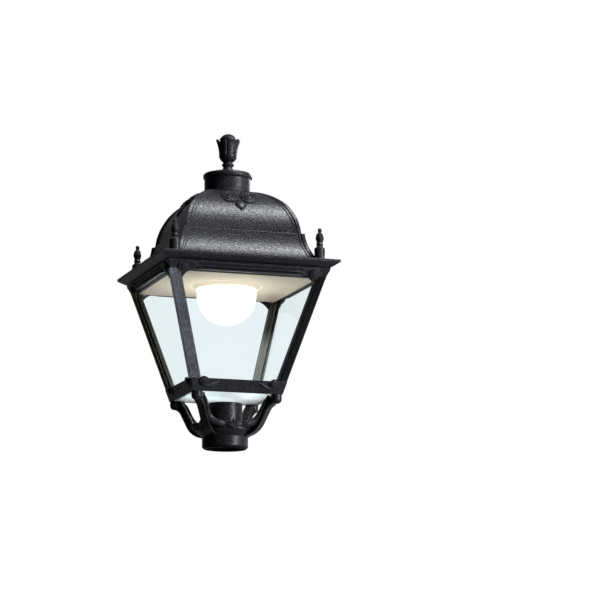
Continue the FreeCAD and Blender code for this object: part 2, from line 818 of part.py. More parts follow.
for side in SIDES:
    x, y = around(side, d.boss_half, d.boss_half)
    bosses.append(cylinder("roof_boss_%d" % side, d.boss_radius, roof_level - reflector_top + d.overrun,
                           x, y, reflector_top))
    roof_holes.append(cylinder("boss_hole_%d" % side, d.reflector_screw_radius + d.reflector_screw_clearance,
                               d.reflector_screw_length + d.pane_clearance, x, y, d.reflector_level))
    x, y = around(side, d.corner_half, d.corner_half)
    roof_holes.append(cylinder("corner_hole_%d" % side, d.corner_spigot_radius + d.corner_spigot_clearance,
                               d.corner_spigot_depth + d.overrun, x, y,
                               d.eave_top_level - d.corner_spigot_depth))
    roof_holes.append(cylinder("corner_relief_%d" % side, d.corner_base_radius + d.corner_base_relief,
                               d.corner_base_height + d.corner_base_relief, x, y, d.eave_top_level))
finish(cut("roof_cut", fuse("roof_joined", [hollow] + bosses), fuse("roof_holes", roof_holes)), "roof_shell")

# Chimney tube, cap, petal finial and the rod that clamps them
chimney_bore = d.chimney_radius - d.chimney_wall
finish(turned("chimney_tube", [
    (chimney_bore, d.crown_level),
    (d.chimney_ring_radius, d.crown_level),
    (d.chimney_ring_radius, d.crown_level + d.chimney_ring_height),
    (d.chimney_radius, d.crown_level + d.chimney_ring_height),
    (d.chimney_radius, d.chimney_top_level),
    (chimney_bore, d.chimney_top_level),
]), "chimney")
rod_bore = d.rod_radius + d.rod_clearance
cap_spigot = chimney_bore - d.cap_spigot_clearance
finish(turned("cap_disc", [
    (rod_bore, d.chimney_top_level - d.cap_spigot_depth),
    (cap_spigot, d.chimney_top_level - d.cap_spigot_depth),
    (cap_spigot, d.chimney_top_level),
    (d.cap_radius - d.cap_bevel, d.chimney_top_level, d.cap_bevel, 1),
    (d.cap_radius, d.chimney_top_level + d.cap_bevel),
    (d.cap_radius, d.cap_edge_level - d.cap_bevel, d.cap_bevel, 1),
    (d.cap_radius - d.cap_bevel, d.cap_edge_level),
    (d.cap_crown_radius, d.cap_top_level),
    (rod_bore, d.cap_top_level),
]), "chimney_cap")
flower = turned("flower", [
    (rod_bore, d.cap_top_level),
    (d.finial_base_radius, d.cap_top_level, d.finial_base_bend, -1),
    (d.finial_neck_radius, d.finial_neck_level),
    (d.finial_neck_radius, d.finial_ring_low_level, d.finial_ring_bend, 1),
    (d.finial_neck_radius, d.finial_ring_high_level),
    (d.finial_neck_radius, d.finial_waist_level, d.finial_bowl_bend, 1),
    (d.finial_bowl_radius, d.finial_bowl_level, d.petal_bend, -1),
    (d.petal_radius, d.petal_level),
    (d.bud_radius, d.bud_seat_level),
    (d.bud_radius, d.bud_shoulder_level, d.bud_bend, 1),
    (ZERO, d.finial_top_level),
    (ZERO, d.rod_top_level),
    (rod_bore, d.rod_top_level),
])
notches = []
flutes = []
count = int(round(d.petal_count.value))
flare = d.petal_radius - d.finial_bowl_radius
climb = d.petal_level - d.finial_bowl_level
lean = math.degrees(math.atan2(flare.value, climb.value))
flute_foot = d.finial_bowl_radius + d.flute_out
for index in range(count):
    angle = 2 * math.pi * (index + 0.5) / count
    corners = [
        (ZERO, d.petal_notch_level), (d.petal_notch, d.petal_level + d.overrun),
        (-d.petal_notch, d.petal_level + d.overrun),
    ]
    turn = upright(math.degrees(angle) + QUARTER)
    sketch = drawing("notch_outline_%d" % index, turn, corners, d.bud_radius * math.cos(angle),
                     d.bud_radius * math.sin(angle), ZERO)
    notches.append(run("notch_%d" % index, sketch, d.petal_radius, False))
    tilt = Rotation(Vector(0, 0, 1), math.degrees(angle)).multiply(Rotation(Vector(0, 1, 0), lean))
    flutes.append(cylinder("flute_%d" % index, d.flute_radius, d.petal_level - d.flute_low_level + d.overrun,
                           flute_foot * math.cos(angle), flute_foot * math.sin(angle), d.flute_low_level, tilt))
finish(cut("flower_cut", flower, fuse("petal_gaps", notches + flutes)), "finial")
rod_low = d.crown_level - d.roof_wall - d.rod_tail
rod_length = d.rod_top_level - d.rod_clearance - rod_low
finish(cylinder("rod", d.rod_radius, rod_length, ZERO, ZERO, rod_low), "centre_rod")
nut = doc.addObject("Part::Prism", "nut_solid")
nut.Polygon = 6
bind(nut, "Circumradius", d.nut_radius)
bind(nut, "Height", d.nut_height)
nut_low = d.crown_level - d.roof_wall - d.nut_height
place(nut, ZERO, ZERO, nut_low)
nut_bore = cylinder("nut_bore", rod_bore, d.nut_height + d.overrun * 2, ZERO, ZERO, nut_low - d.overrun)
finish(cut("nut_cut", nut, nut_bore), "centre_nut")

# Corner finials stand in sockets in the eave
base = d.eave_top_level
corner_outline = [
    (ZERO, base - d.corner_spigot_depth),
    (d.corner_spigot_radius, base - d.corner_spigot_depth),
    (d.corner_spigot_radius, base),
    (d.corner_base_radius, base),
    (d.corner_base_radius, base + d.corner_base_height),
    (d.corner_neck_radius, base + d.corner_neck_height),
    (d.corner_bead_radius, base + d.corner_bead_height),
    (d.corner_neck_radius, base + d.corner_waist_height),
    (d.corner_urn_radius, base + d.corner_urn_height),
    (d.corner_lip_radius, base + d.corner_lip_height),
    (d.corner_throat_radius, base + d.corner_throat_height),
    (d.corner_ball_radius, base + d.corner_top_height - d.corner_ball_radius, d.corner_ball_radius, 1),
    (ZERO, base + d.corner_top_height),
]
for side, where in enumerate(POSTS):
    spire = turned("spire_" + where, corner_outline)
    x, y = around(side, -d.corner_half, -d.corner_half)
    place(spire, x, y, ZERO)
    finish(spire, "corner_finial_" + where)


# Hinge: leaves on the frame and roof, and a fixed pin at each
def hinge_run(label, corners, x, width):
    turn = Rotation(Vector(0, 0, 1), QUARTER).multiply(Rotation(Vector(1, 0, 0), QUARTER))
    solid = run(label, drawing(label + "_outline", turn, corners, x), width, False)
    return solid


face_gap = d.moulding_step * 1.5 + d.hinge_stand_off
plate_low = d.hinge_plate_low_level
barrel_low = d.hinge_level - d.hinge_barrel
barrel_top = d.hinge_level + d.hinge_barrel
plate_top = d.cage_top_level - d.hinge_plate
frame_leaf = [
    (face_half(plate_low) + face_gap, plate_low),
    (face_half(plate_low) + face_gap + d.hinge_plate, plate_low),
    (d.hinge_reach, barrel_low, d.hinge_barrel, 1),
    (d.hinge_reach + d.hinge_barrel, d.hinge_level, d.hinge_barrel, 1),
    (d.hinge_reach, barrel_top),
    (face_half(plate_top) + face_gap, plate_top),
]
bevel = (eave[1][1] - eave[0][1]) / (eave[1][0] - eave[0][0])


def bevel_level(reach):
    return roof_level + (reach - eave[0][0]) * bevel


leaf_near = d.hinge_reach - d.hinge_barrel
leaf_far = d.hinge_reach + d.hinge_barrel
roof_leaf = [
    (leaf_near, d.hinge_level, d.hinge_barrel, 1),
    (d.hinge_reach, barrel_low, d.hinge_barrel, 1),
    (leaf_far, d.hinge_level),
    (leaf_far, bevel_level(leaf_far)),
    (leaf_near, bevel_level(leaf_near)),
]
ALONG = Rotation(Vector(0, 1, 0), QUARTER)
frame_leaves, roof_leaves, pins = [], [], []
for index, sign in enumerate((-1, 1)):
    middle = d.hinge_spread * sign
    half = d.hinge_knuckle / 2
    reach = half + d.hinge_side_gap + d.hinge_wing
    bore_radius = d.hinge_pin_radius + d.hinge_clearance
    bore = cylinder("knuckle_bore_%d" % index, bore_radius, reach * 2 + d.overrun * 2,
                    middle - reach - d.overrun, d.hinge_reach, d.hinge_level, ALONG)
    leaf = hinge_run("frame_leaf_%d" % index, frame_leaf, middle - half, d.hinge_knuckle)
    frame_leaves.append(cut("frame_leaf_cut_%d" % index, leaf, bore))
    wings = [
        hinge_run("roof_wing_near_%d" % index, roof_leaf, middle - reach, d.hinge_wing),
        hinge_run("roof_wing_far_%d" % index, roof_leaf, middle + half + d.hinge_side_gap, d.hinge_wing),
    ]
    roof_leaves += [cut("roof_wing_cut_%d_%d" % (index, part), wing, bore) for part, wing in enumerate(wings)]
    pins.append(cylinder("pin_%d" % index, d.hinge_pin_radius, reach * 2 + d.hinge_pin_head * 2,
                         middle - reach - d.hinge_pin_head, d.hinge_reach, d.hinge_level, ALONG))
finish(group("frame_leaf_pair", frame_leaves), "frame_hinge_leaves")
finish(group("roof_leaf_set", roof_leaves), "roof_hinge_leaves")
finish(group("pin_pair", pins), "hinge_pins")

# Reflector pan with a dished ring round the globe
pan = d.reflector_half
pan_in = pan - d.reflector_sheet
pan_top = roof_level - d.roof_gap
tray = cut("tray", block("tray_outer", (-pan, -pan, d.reflector_level), (pan, pan, pan_top)),
           block("tray_inner", (-pan_in, -pan_in, reflector_top), (pan_in, pan_in, pan_top + d.overrun)))
ring_low = d.reflector_level - d.reflector_ring_drop
collar = turned("reflector_ring", [
    (d.reflector_hole_radius, ring_low),
    (d.reflector_ring_radius, d.reflector_level),
    (d.reflector_ring_radius + d.reflector_sheet, reflector_top),
    (d.reflector_ring_radius, reflector_top),
    (d.reflector_hole_radius, ring_low + d.reflector_sheet),
])
pan_holes = [cylinder("pan_hole", d.reflector_ring_radius, d.reflector_sheet + d.overrun * 2,
                      ZERO, ZERO, d.reflector_level - d.overrun)]
pan_screws = []
for side in SIDES:
    x, y = around(side, d.boss_half, d.boss_half)
    hole_radius = d.reflector_screw_radius + d.reflector_screw_clearance
    pan_holes.append(cylinder("pan_screw_hole_%d" % side, hole_radius, d.reflector_sheet + d.overrun * 2,
                              x, y, d.reflector_level - d.overrun))
    shank = cylinder("pan_shank_%d" % side, d.reflector_screw_radius, d.reflector_screw_length,
                     x, y, d.reflector_level)
    head = cylinder("pan_head_%d" % side, d.reflector_screw_head, d.reflector_screw_rise,
                    x, y, d.reflector_level - d.reflector_screw_rise)
    pan_screws.append(fuse("pan_screw_%d" % side, [shank, head]))
finish(fuse("reflector_joined", [cut("tray_cut", tray, fuse("pan_holes", pan_holes)), collar]), "reflector")
finish(group("pan_screw_set", pan_screws), "reflector_screws")

# Globe bulb, lampholder, bracket and terminal block
neck_foot = d.globe_level + as_size(math.sqrt(d.globe_radius.value ** 2 - d.bulb_neck_radius.value ** 2))
finish(turned("bulb", [
    (ZERO, d.globe_level - d.globe_radius, d.globe_radius, 1),
    (d.globe_radius, d.globe_level, d.globe_radius, 1),
    (d.bulb_neck_radius, neck_foot),
    (d.bulb_neck_radius, d.bulb_neck_level),
    (d.bulb_cap_radius, d.bulb_cap_level),
    (d.bulb_cap_radius, d.bulb_top_level),
    (ZERO, d.bulb_top_level),
]), "globe_bulb")
holder_top = d.holder_low_level + d.holder_height
holder_bore = d.bulb_cap_radius + d.holder_clearance
finish(turned("holder", [
    (holder_bore, d.holder_low_level),
    (d.holder_radius, d.holder_low_level),
    (d.holder_radius, holder_top),
    (ZERO, holder_top),
    (ZERO, d.bulb_top_level + d.holder_clearance),
    (holder_bore, d.bulb_top_level + d.holder_clearance),
]), "lampholder")
arm = d.bracket_half
bracket_outline = [
    (-arm - d.bracket_foot, reflector_top), (-arm + d.bracket_sheet, reflector_top),
    (-arm + d.bracket_sheet, holder_top), (arm - d.bracket_sheet, holder_top),
    (arm - d.bracket_sheet, reflector_top), (arm + d.bracket_foot, reflector_top),
    (arm + d.bracket_foot, reflector_top + d.bracket_sheet), (arm, reflector_top + d.bracket_sheet),
    (arm, holder_top + d.bracket_sheet), (-arm, holder_top + d.bracket_sheet),
    (-arm, reflector_top + d.bracket_sheet), (-arm - d.bracket_foot, reflector_top + d.bracket_sheet),
]
bracket_sketch = drawing("bracket_outline", upright(0.0), bracket_outline)
finish(run("bracket", bracket_sketch, d.bracket_width), "lampholder_bracket")
shelf = holder_top + d.bracket_sheet
finish(block("terminals", (-d.terminal_length / 2, -d.terminal_width / 2, shelf),
             (d.terminal_length / 2, d.terminal_width / 2, shelf + d.terminal_height)), "terminal_block")

# Closing springs bow out from the front wall of the reflector
bow = d.upper_opening_half - d.reflector_half - d.spring_gap
bow_low, bow_high = d.spring_low_level, d.spring_high_level
bow_middle = (bow_low + bow_high) / 2
spring_outline = [
    (-pan, bow_low), (-pan - d.spring_sheet, bow_low), (-pan - bow, bow_middle),
    (-pan - d.spring_sheet, bow_high), (-pan, bow_high),
]
springs = []
for index, sign in enumerate((1, -1)):
    start = d.spring_spread * sign - d.spring_width / 2
    springs.append(hinge_run("spring_%d" % index, list(reversed(spring_outline)), start, d.spring_width))
finish(group("spring_pair", springs), "closing_springs")

# Check and write every piece
for item in doc.Objects:
    if "Invalid" in item.State or "Error" in item.State:
        raise RuntimeError("not built: " + item.Label)
for piece in PIECES:
    if piece.Shape.isNull() or not piece.Shape.isValid():
        raise RuntimeError("bad shape: " + piece.Label)
    piece.Shape.exportStep("parts/%s.step" % piece.Label)
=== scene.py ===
"""Looks of the post lantern: cast paint, glazing, lamp, cast ornament and the studio round it."""

import math

import bmesh
import bpy
from mathutils import Matrix, Vector


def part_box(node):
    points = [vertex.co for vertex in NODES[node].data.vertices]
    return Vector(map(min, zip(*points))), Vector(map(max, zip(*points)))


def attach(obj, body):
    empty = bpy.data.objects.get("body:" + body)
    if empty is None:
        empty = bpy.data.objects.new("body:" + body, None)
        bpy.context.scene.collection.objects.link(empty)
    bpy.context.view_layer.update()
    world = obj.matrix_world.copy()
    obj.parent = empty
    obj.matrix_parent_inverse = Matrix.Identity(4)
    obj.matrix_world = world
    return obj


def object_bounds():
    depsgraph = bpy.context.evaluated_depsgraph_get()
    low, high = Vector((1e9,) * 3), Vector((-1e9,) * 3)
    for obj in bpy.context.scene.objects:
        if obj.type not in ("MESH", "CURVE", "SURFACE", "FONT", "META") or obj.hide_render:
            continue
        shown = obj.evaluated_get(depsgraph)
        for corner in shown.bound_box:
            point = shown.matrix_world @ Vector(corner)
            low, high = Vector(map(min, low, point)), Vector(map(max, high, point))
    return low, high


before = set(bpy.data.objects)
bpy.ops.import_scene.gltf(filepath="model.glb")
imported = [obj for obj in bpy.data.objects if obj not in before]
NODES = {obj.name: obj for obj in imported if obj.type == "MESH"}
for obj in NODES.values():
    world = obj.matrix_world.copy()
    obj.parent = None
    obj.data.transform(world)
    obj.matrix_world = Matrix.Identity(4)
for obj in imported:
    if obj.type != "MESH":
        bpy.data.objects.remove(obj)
CAD_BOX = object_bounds()

bl_info = {
    "name": "Post Lantern Looks",
    "version": (1, 0, 0),
    "blender": (4, 5, 0),
    "location": "View3D > Sidebar > Lantern",
    "description": "Paints, glazes and lights a square post lantern and sets its studio",
    "category": "Object",
}

PANES = ("pane_front", "pane_right", "pane_back", "pane_left")
STEEL = ("set_screws", "hinge_pins", "reflector_screws", "centre_rod", "centre_nut", "closing_springs",
         "lampholder_bracket")
CASTINGS = ("base_casting", "frame_hinge_leaves", "roof_shell", "chimney", "chimney_cap", "finial",
            "corner_finial_front_left", "corner_finial_front_right", "corner_finial_back_right",
            "corner_finial_back_left", "roof_hinge_leaves")
POSTS = ("corner_post_front_left", "corner_post_front_right", "corner_post_back_right",
         "corner_post_back_left")
CAGE_CASTINGS = ("lower_rail", "upper_rail", *POSTS)

# Paint: how fine the peel is beside the grit, and how far drift and edges are worn; the paler edges are
# rubbed wear and also a painted highlight along every edge
PEEL_SHARE = 0.45
DRIFT_WEAR = 0.3
EDGE_WEAR_AND_SHEEN = 0.9

# Darker tone, paler tone and roughness of the seal and of the pale fittings
SEAL_RUBBER = ((0.012, 0.012, 0.012), (0.035, 0.035, 0.034), 0.6)
HOLDER_CERAMIC = ((0.80, 0.79, 0.75), (0.86, 0.85, 0.82), 0.18)
TERMINAL_PLASTIC = ((0.70, 0.69, 0.63), (0.78, 0.77, 0.72), 0.5)


class PaintLook(bpy.types.PropertyGroup):
    """Textured black paint on the castings."""

    colour: bpy.props.FloatVectorProperty(
        name="Paint", description="Colour of the paint", subtype="COLOR", size=3, min=0, max=1,
        default=(0.0062, 0.0065, 0.0080))
    # The worn colour serves for dust and rubbed wear, and also for the painted highlight on edges and
    # carving
    worn_and_sheen: bpy.props.FloatVectorProperty(
        name="Worn", description="Colour of rubbed high spots and settled dust", subtype="COLOR", size=3,
        min=0, max=1, default=(0.064, 0.066, 0.074))
    # The lining is a paler tone on faces that look inward: painted lamplight from the globe on the inside of
    # the cage
    lamplit_lining: bpy.props.FloatVectorProperty(
        name="Lining", description="Colour of the thin coat on the inside of the cage", subtype="COLOR",
        size=3, min=0, max=1, default=(0.034, 0.032, 0.027))
    # Carving wear pales the raised ornament: partly rubbed wear, partly a painted highlight
    carving_wear_and_sheen: bpy.props.FloatProperty(
        name="Carving wear", description="Share by which the carving is worn more than the castings",
        default=0.7, min=0, max=1, subtype="FACTOR")
    roughness: bpy.props.FloatProperty(
        name="Roughness", description="Mean roughness of the paint", default=0.33, min=0, max=1,
        subtype="FACTOR")
    grain: bpy.props.FloatProperty(
        name="Grain", description="Size of one grain of the cast surface", default=0.0016, min=0.0002,
        subtype="DISTANCE", unit="LENGTH")
    # Hollow shade: the reach over which gloss is lowered in hollows, a painted shade
    hollow_shade: bpy.props.FloatProperty(
        name="Hollow", description="Reach of the dull dust in a hollow", default=0.008, min=0.0005,
        subtype="DISTANCE", unit="LENGTH")
    relief: bpy.props.FloatProperty(
        name="Relief", description="Height of the grain", default=0.00034, min=0, subtype="DISTANCE",
        unit="LENGTH")
    edge: bpy.props.FloatProperty(
        name="Edge", description="Radius of the softened edges", default=0.0011, min=0, subtype="DISTANCE",
        unit="LENGTH")


class GlassLook(bpy.types.PropertyGroup):
    """Clear glazing."""

    tint: bpy.props.FloatVectorProperty(
        name="Tint", description="Colour of the glass", subtype="COLOR", size=3, min=0, max=1,
        default=(0.887, 0.935, 0.945))
    floor_tint: bpy.props.FloatVectorProperty(
        name="Floor tint", description="Colour of the bottom pane", subtype="COLOR", size=3, min=0, max=1,
        default=(0.84, 0.90, 0.90))
    roughness: bpy.props.FloatProperty(
        name="Roughness", description="Mean roughness of the glass", default=0.015, min=0, max=1,
        subtype="FACTOR")
    bending: bpy.props.FloatProperty(
        name="Bending", description="Index of refraction of the side panes", default=1.05, min=1)
    # Floor glow: painted light on the bottom pane, which glows as if lit by the globe though it is no lamp
    floor_painted_glow: bpy.props.FloatProperty(
        name="Floor glow", description="Strength of the light that the bottom pane gives out",
        default=0.100, min=0)
    floor_roughness: bpy.props.FloatProperty(
        name="Floor roughness", description="Mean roughness of the bottom pane", default=0.6, min=0, max=1,
        subtype="FACTOR")
    floor_bending: bpy.props.FloatProperty(
        name="Floor bending", description="Index of refraction of the bottom pane", default=1.45, min=1)


class LampLook(bpy.types.PropertyGroup):
    """Globe bulb, reflector and the fittings behind it."""

    glow: bpy.props.FloatVectorProperty(
        name="Glow", description="Colour of the lit globe", subtype="COLOR", size=3, min=0, max=1,
        default=(1.0, 0.985, 0.95))
    warmth: bpy.props.FloatVectorProperty(
        name="Warmth", description="Colour of the light that the globe casts", subtype="COLOR", size=3,
        min=0, max=1, default=(1.0, 0.90, 0.77))
    strength: bpy.props.FloatProperty(
        name="Strength", description="Brightness of the light that the globe casts", default=5.5, min=0)
    face: bpy.props.FloatProperty(
        name="Face", description="Brightness of the globe itself", default=1.5, min=0)
    mirrored: bpy.props.FloatVectorProperty(
        name="Mirrored", description="Colour of the globe in glossy surfaces", subtype="COLOR", size=3,
        min=0, max=1, default=(0.8, 0.84, 0.86))
    enamel: bpy.props.FloatVectorProperty(
        name="Enamel", description="Colour of the reflector", subtype="COLOR", size=3, min=0, max=1,
        default=(0.57, 0.525, 0.45))
    # The ring is painted light: the enamel made paler round the globe
    ring: bpy.props.FloatProperty(
        name="Ring", description="How many times paler the enamel is round the globe", default=1.7, min=0)
    steel: bpy.props.FloatVectorProperty(
        name="Steel", description="Colour of plated fittings", subtype="COLOR", size=3, min=0, max=1,
        default=(0.55, 0.55, 0.54))


class OrnamentLook(bpy.types.PropertyGroup):
    """Cast flowers, leaves, scrolls and lips."""

    rose_half: bpy.props.FloatProperty(
        name="Rose half width", description="Half the width of one rose", default=0.0140, min=0.001,
        subtype="DISTANCE", unit="LENGTH")
    rose_reach: bpy.props.FloatProperty(
        name="Rose half height", description="Half the height of one rose along the dome", default=0.0160,
        min=0.001, subtype="DISTANCE", unit="LENGTH")
    rose_rise: bpy.props.FloatProperty(
        name="Rose rise", description="Height of the middle of a rose over its edge", default=0.0022,
        min=0.0002, subtype="DISTANCE", unit="LENGTH")
    rose_step: bpy.props.FloatProperty(
        name="Rose step", description="Height of a petal's lip over the next petal", default=0.0021,
        min=0.0002, subtype="DISTANCE", unit="LENGTH")
    scroll: bpy.props.FloatProperty(
        name="Scroll", description="Length of an upper scroll from its eye to its tip", default=0.031,
        min=0.005, subtype="DISTANCE", unit="LENGTH")
    palmette: bpy.props.FloatProperty(
        name="Palmette", description="Length of the middle lobe of a palmette", default=0.0120, min=0.002,
        subtype="DISTANCE", unit="LENGTH")
    bead: bpy.props.FloatProperty(
        name="Bead", description="Half the width of a bead on the upper rail", default=0.0015, min=0.0002,
        subtype="DISTANCE", unit="LENGTH")
    lip: bpy.props.FloatProperty(
        name="Lip", description="Radius of the lip along the arms and dish", default=0.0024, min=0.0003,
        subtype="DISTANCE", unit="LENGTH")


class StageSetup(bpy.types.PropertyGroup):
    """Floor, lamps and camera."""

    floor: bpy.props.FloatVectorProperty(
        name="Floor", description="Colour of the floor", subtype="COLOR", size=3, min=0, max=1,
        default=(0.8, 0.8, 0.8))
    fill: bpy.props.FloatProperty(
        name="Fill", description="Strength of the even light", default=0.015, min=0)
    key: bpy.props.FloatProperty(
        name="Key", description="Power of the high lamp at the right", default=79.0, min=0, unit="POWER")
    side: bpy.props.FloatProperty(
        name="Side", description="Power of the low lamp at the right", default=55.0, min=0, unit="POWER")
    back: bpy.props.FloatProperty(
        name="Back", description="Power of the lamp behind", default=25.0, min=0, unit="POWER")
    accent: bpy.props.FloatProperty(
        name="Accent", description="Power of the lamp at the left on the front left post", default=165.0,
        min=0, unit="POWER")
    bounce: bpy.props.FloatProperty(
        name="Bounce", description="Power of the warm light that comes back up in the lamp chamber",
        default=0.42, min=0, unit="POWER")
    azimuth: bpy.props.FloatProperty(
        name="Azimuth", description="Camera's turn to the left of the front", default=math.radians(15.92),
        subtype="ANGLE", unit="ROTATION")
    elevation: bpy.props.FloatProperty(
        name="Elevation", description="Camera's angle above the horizon", default=math.radians(-10.04),
        subtype="ANGLE", unit="ROTATION")
    distance: bpy.props.FloatProperty(
        name="Distance", description="Camera's distance from the aim", default=4.5, min=0.1,
        subtype="DISTANCE", unit="LENGTH")
    aim: bpy.props.FloatProperty(
        name="Aim", description="Height of the point that the camera goes round", default=0.2556,
        subtype="DISTANCE", unit="LENGTH")
    lens: bpy.props.FloatProperty(
        name="Lens", description="Focal length", default=168.96, min=1, subtype="DISTANCE_CAMERA")
    yaw: bpy.props.FloatProperty(
        name="Yaw", description="Turn that sets the lantern left of the middle", default=math.radians(1.495),
        subtype="ANGLE", unit="ROTATION")
    pitch: bpy.props.FloatProperty(
        name="Pitch", description="Tilt that sets the lantern's height in the picture",
        default=math.radians(0.181), subtype="ANGLE", unit="ROTATION")
    roll: bpy.props.FloatProperty(
        name="Roll", description="Camera's roll", default=math.radians(0.62), subtype="ANGLE",
        unit="ROTATION")


# Node helpers
def add_node(tree, kind, values=None, **settings):
    """A new node with its settings and the fixed values of its sockets."""
    node = tree.nodes.new(kind)
    for name, value in settings.items():
        setattr(node, name, value)
    for socket, value in (values or {}).items():
        node.inputs[socket].default_value = value
    return node


def join(tree, *links):
    """Links each pair of sockets."""
    for start, end in links:
        tree.links.new(start, end)


def new_group(name, inputs, outputs):
    """A shader node group with its named sockets; returns the group, its input node and its output node."""
    group = bpy.data.node_groups.new(name, "ShaderNodeTree")
    for label, kind, default in inputs:
        socket = group.interface.new_socket(label, in_out="INPUT", socket_type=kind)
        socket.default_value = default
    for label, kind in outputs:
        group.interface.new_socket(label, in_out="OUTPUT", socket_type=kind)
    return group, group.nodes.new("NodeGroupInput"), group.nodes.new("NodeGroupOutput")


def cast_grain_group():
    """Orange peel, fine grit and slow drift of a painted casting."""
    found = bpy.data.node_groups.get("cast_grain")
    if found:
        return found
    group, entry, out = new_group(
        "cast_grain",
        [("Grain Scale", "NodeSocketFloat", 480.0), ("Grit Scale", "NodeSocketFloat", 1500.0)],
        [("Height", "NodeSocketFloat"), ("Grit", "NodeSocketFloat"), ("Drift", "NodeSocketFloat")])
    place = add_node(group, "ShaderNodeTexCoord")
    peel = add_node(group, "ShaderNodeTexNoise", {"Detail": 3.0, "Roughness": 0.55, "Distortion": 0.15})
    grit = add_node(group, "ShaderNodeTexNoise", {"Detail": 2.0, "Roughness": 0.6})
    drift = add_node(group, "ShaderNodeTexNoise", {"Scale": 22.0, "Detail": 3.0})
    both = add_node(group, "ShaderNodeMath", {1: 0.45}, operation="MULTIPLY_ADD")
    join(group,
         (place.outputs["Object"], peel.inputs["Vector"]), (place.outputs["Object"], grit.inputs["Vector"]),
         (place.outputs["Object"], drift.inputs["Vector"]),
         (entry.outputs["Grain Scale"], peel.inputs["Scale"]),
         (entry.outputs["Grit Scale"], grit.inputs["Scale"]),
         (grit.outputs["Fac"], both.inputs[0]), (peel.outputs["Fac"], both.inputs[2]),
         (both.outputs[0], out.inputs["Height"]), (grit.outputs["Fac"], out.inputs["Grit"]),
         (drift.outputs["Fac"], out.inputs["Drift"]))
    return group


def edge_group():
    """Softened edge normal and a mask that is 1 on an edge, where the paint is made paler as rubbed wear and
    as a painted highlight.
    """
    found = bpy.data.node_groups.get("soft_edge")
    if found:
        return found
    group, entry, out = new_group(
        "soft_edge", [("Radius", "NodeSocketFloat", 0.0008)],
        [("Normal", "NodeSocketVector"), ("Edge", "NodeSocketFloat")])
    soft = add_node(group, "ShaderNodeBevel", samples=6)
    spot = add_node(group, "ShaderNodeNewGeometry")
    dot = add_node(group, "ShaderNodeVectorMath", operation="DOT_PRODUCT")
    mask = add_node(group, "ShaderNodeMapRange", {"From Min": 0.995, "From Max": 0.86})
    join(group,
         (entry.outputs["Radius"], soft.inputs["Radius"]), (soft.outputs["Normal"], dot.inputs[0]),
         (spot.outputs["Normal"], dot.inputs[1]), (dot.outputs["Value"], mask.inputs["Value"]),
         (soft.outputs["Normal"], out.inputs["Normal"]), (mask.outputs["Result"], out.inputs["Edge"]))
    return group


def new_material(name):
    """A material with its node tree and its shader."""
    material = bpy.data.materials.new(name)
    material.use_nodes = True
    return material, material.node_tree, material.node_tree.nodes["Principled BSDF"]


def use_group(tree, group, values):
    """A node that holds a group, with the fixed values of its sockets."""
    return add_node(tree, "ShaderNodeGroup", values, node_tree=group)


def mix_colour(tree, factor, first, second):
    """A colour mix; each side is a socket or a fixed colour."""
    node = add_node(tree, "ShaderNodeMix", data_type="RGBA")
    join(tree, (factor, node.inputs["Factor"]))
    for socket, value in ((node.inputs[6], first), (node.inputs[7], second)):
        if isinstance(value, bpy.types.NodeSocket):
            join(tree, (value, socket))
        else:
            socket.default_value = (*value, 1.0)
    return node.outputs[2]


def scaled(colour, share):
    """A colour made darker or paler."""
    return tuple(min(1.0, channel * share) for channel in colour)


def spread(tree, value, low, high, start=0.3, end=0.7):
    """Maps a mask from start..end onto low..high."""
    node = add_node(tree, "ShaderNodeMapRange",
                    {"From Min": start, "From Max": end, "To Min": low, "To Max": high})
    join(tree, (value, node.inputs["Value"]))
    return node.outputs["Result"]


def inward_lamplight_mask(tree):
    """A mask that is 1 on faces that look toward the middle of the lantern; it carries the painted lamplight
    of the lining.
    """
    place = add_node(tree, "ShaderNodeTexCoord")
    level = add_node(tree, "ShaderNodeVectorMath", {1: (-1.0, -1.0, 0.0)}, operation="MULTIPLY")
    inward = add_node(tree, "ShaderNodeVectorMath", operation="NORMALIZE")
    facing = add_node(tree, "ShaderNodeVectorMath", operation="DOT_PRODUCT")
    join(tree, (place.outputs["Object"], level.inputs[0]), (level.outputs["Vector"], inward.inputs[0]),
         (inward.outputs["Vector"], facing.inputs[0]), (place.outputs["Normal"], facing.inputs[1]))
    return spread(tree, facing.outputs["Value"], 0.0, 1.0, 0.3, 0.5)


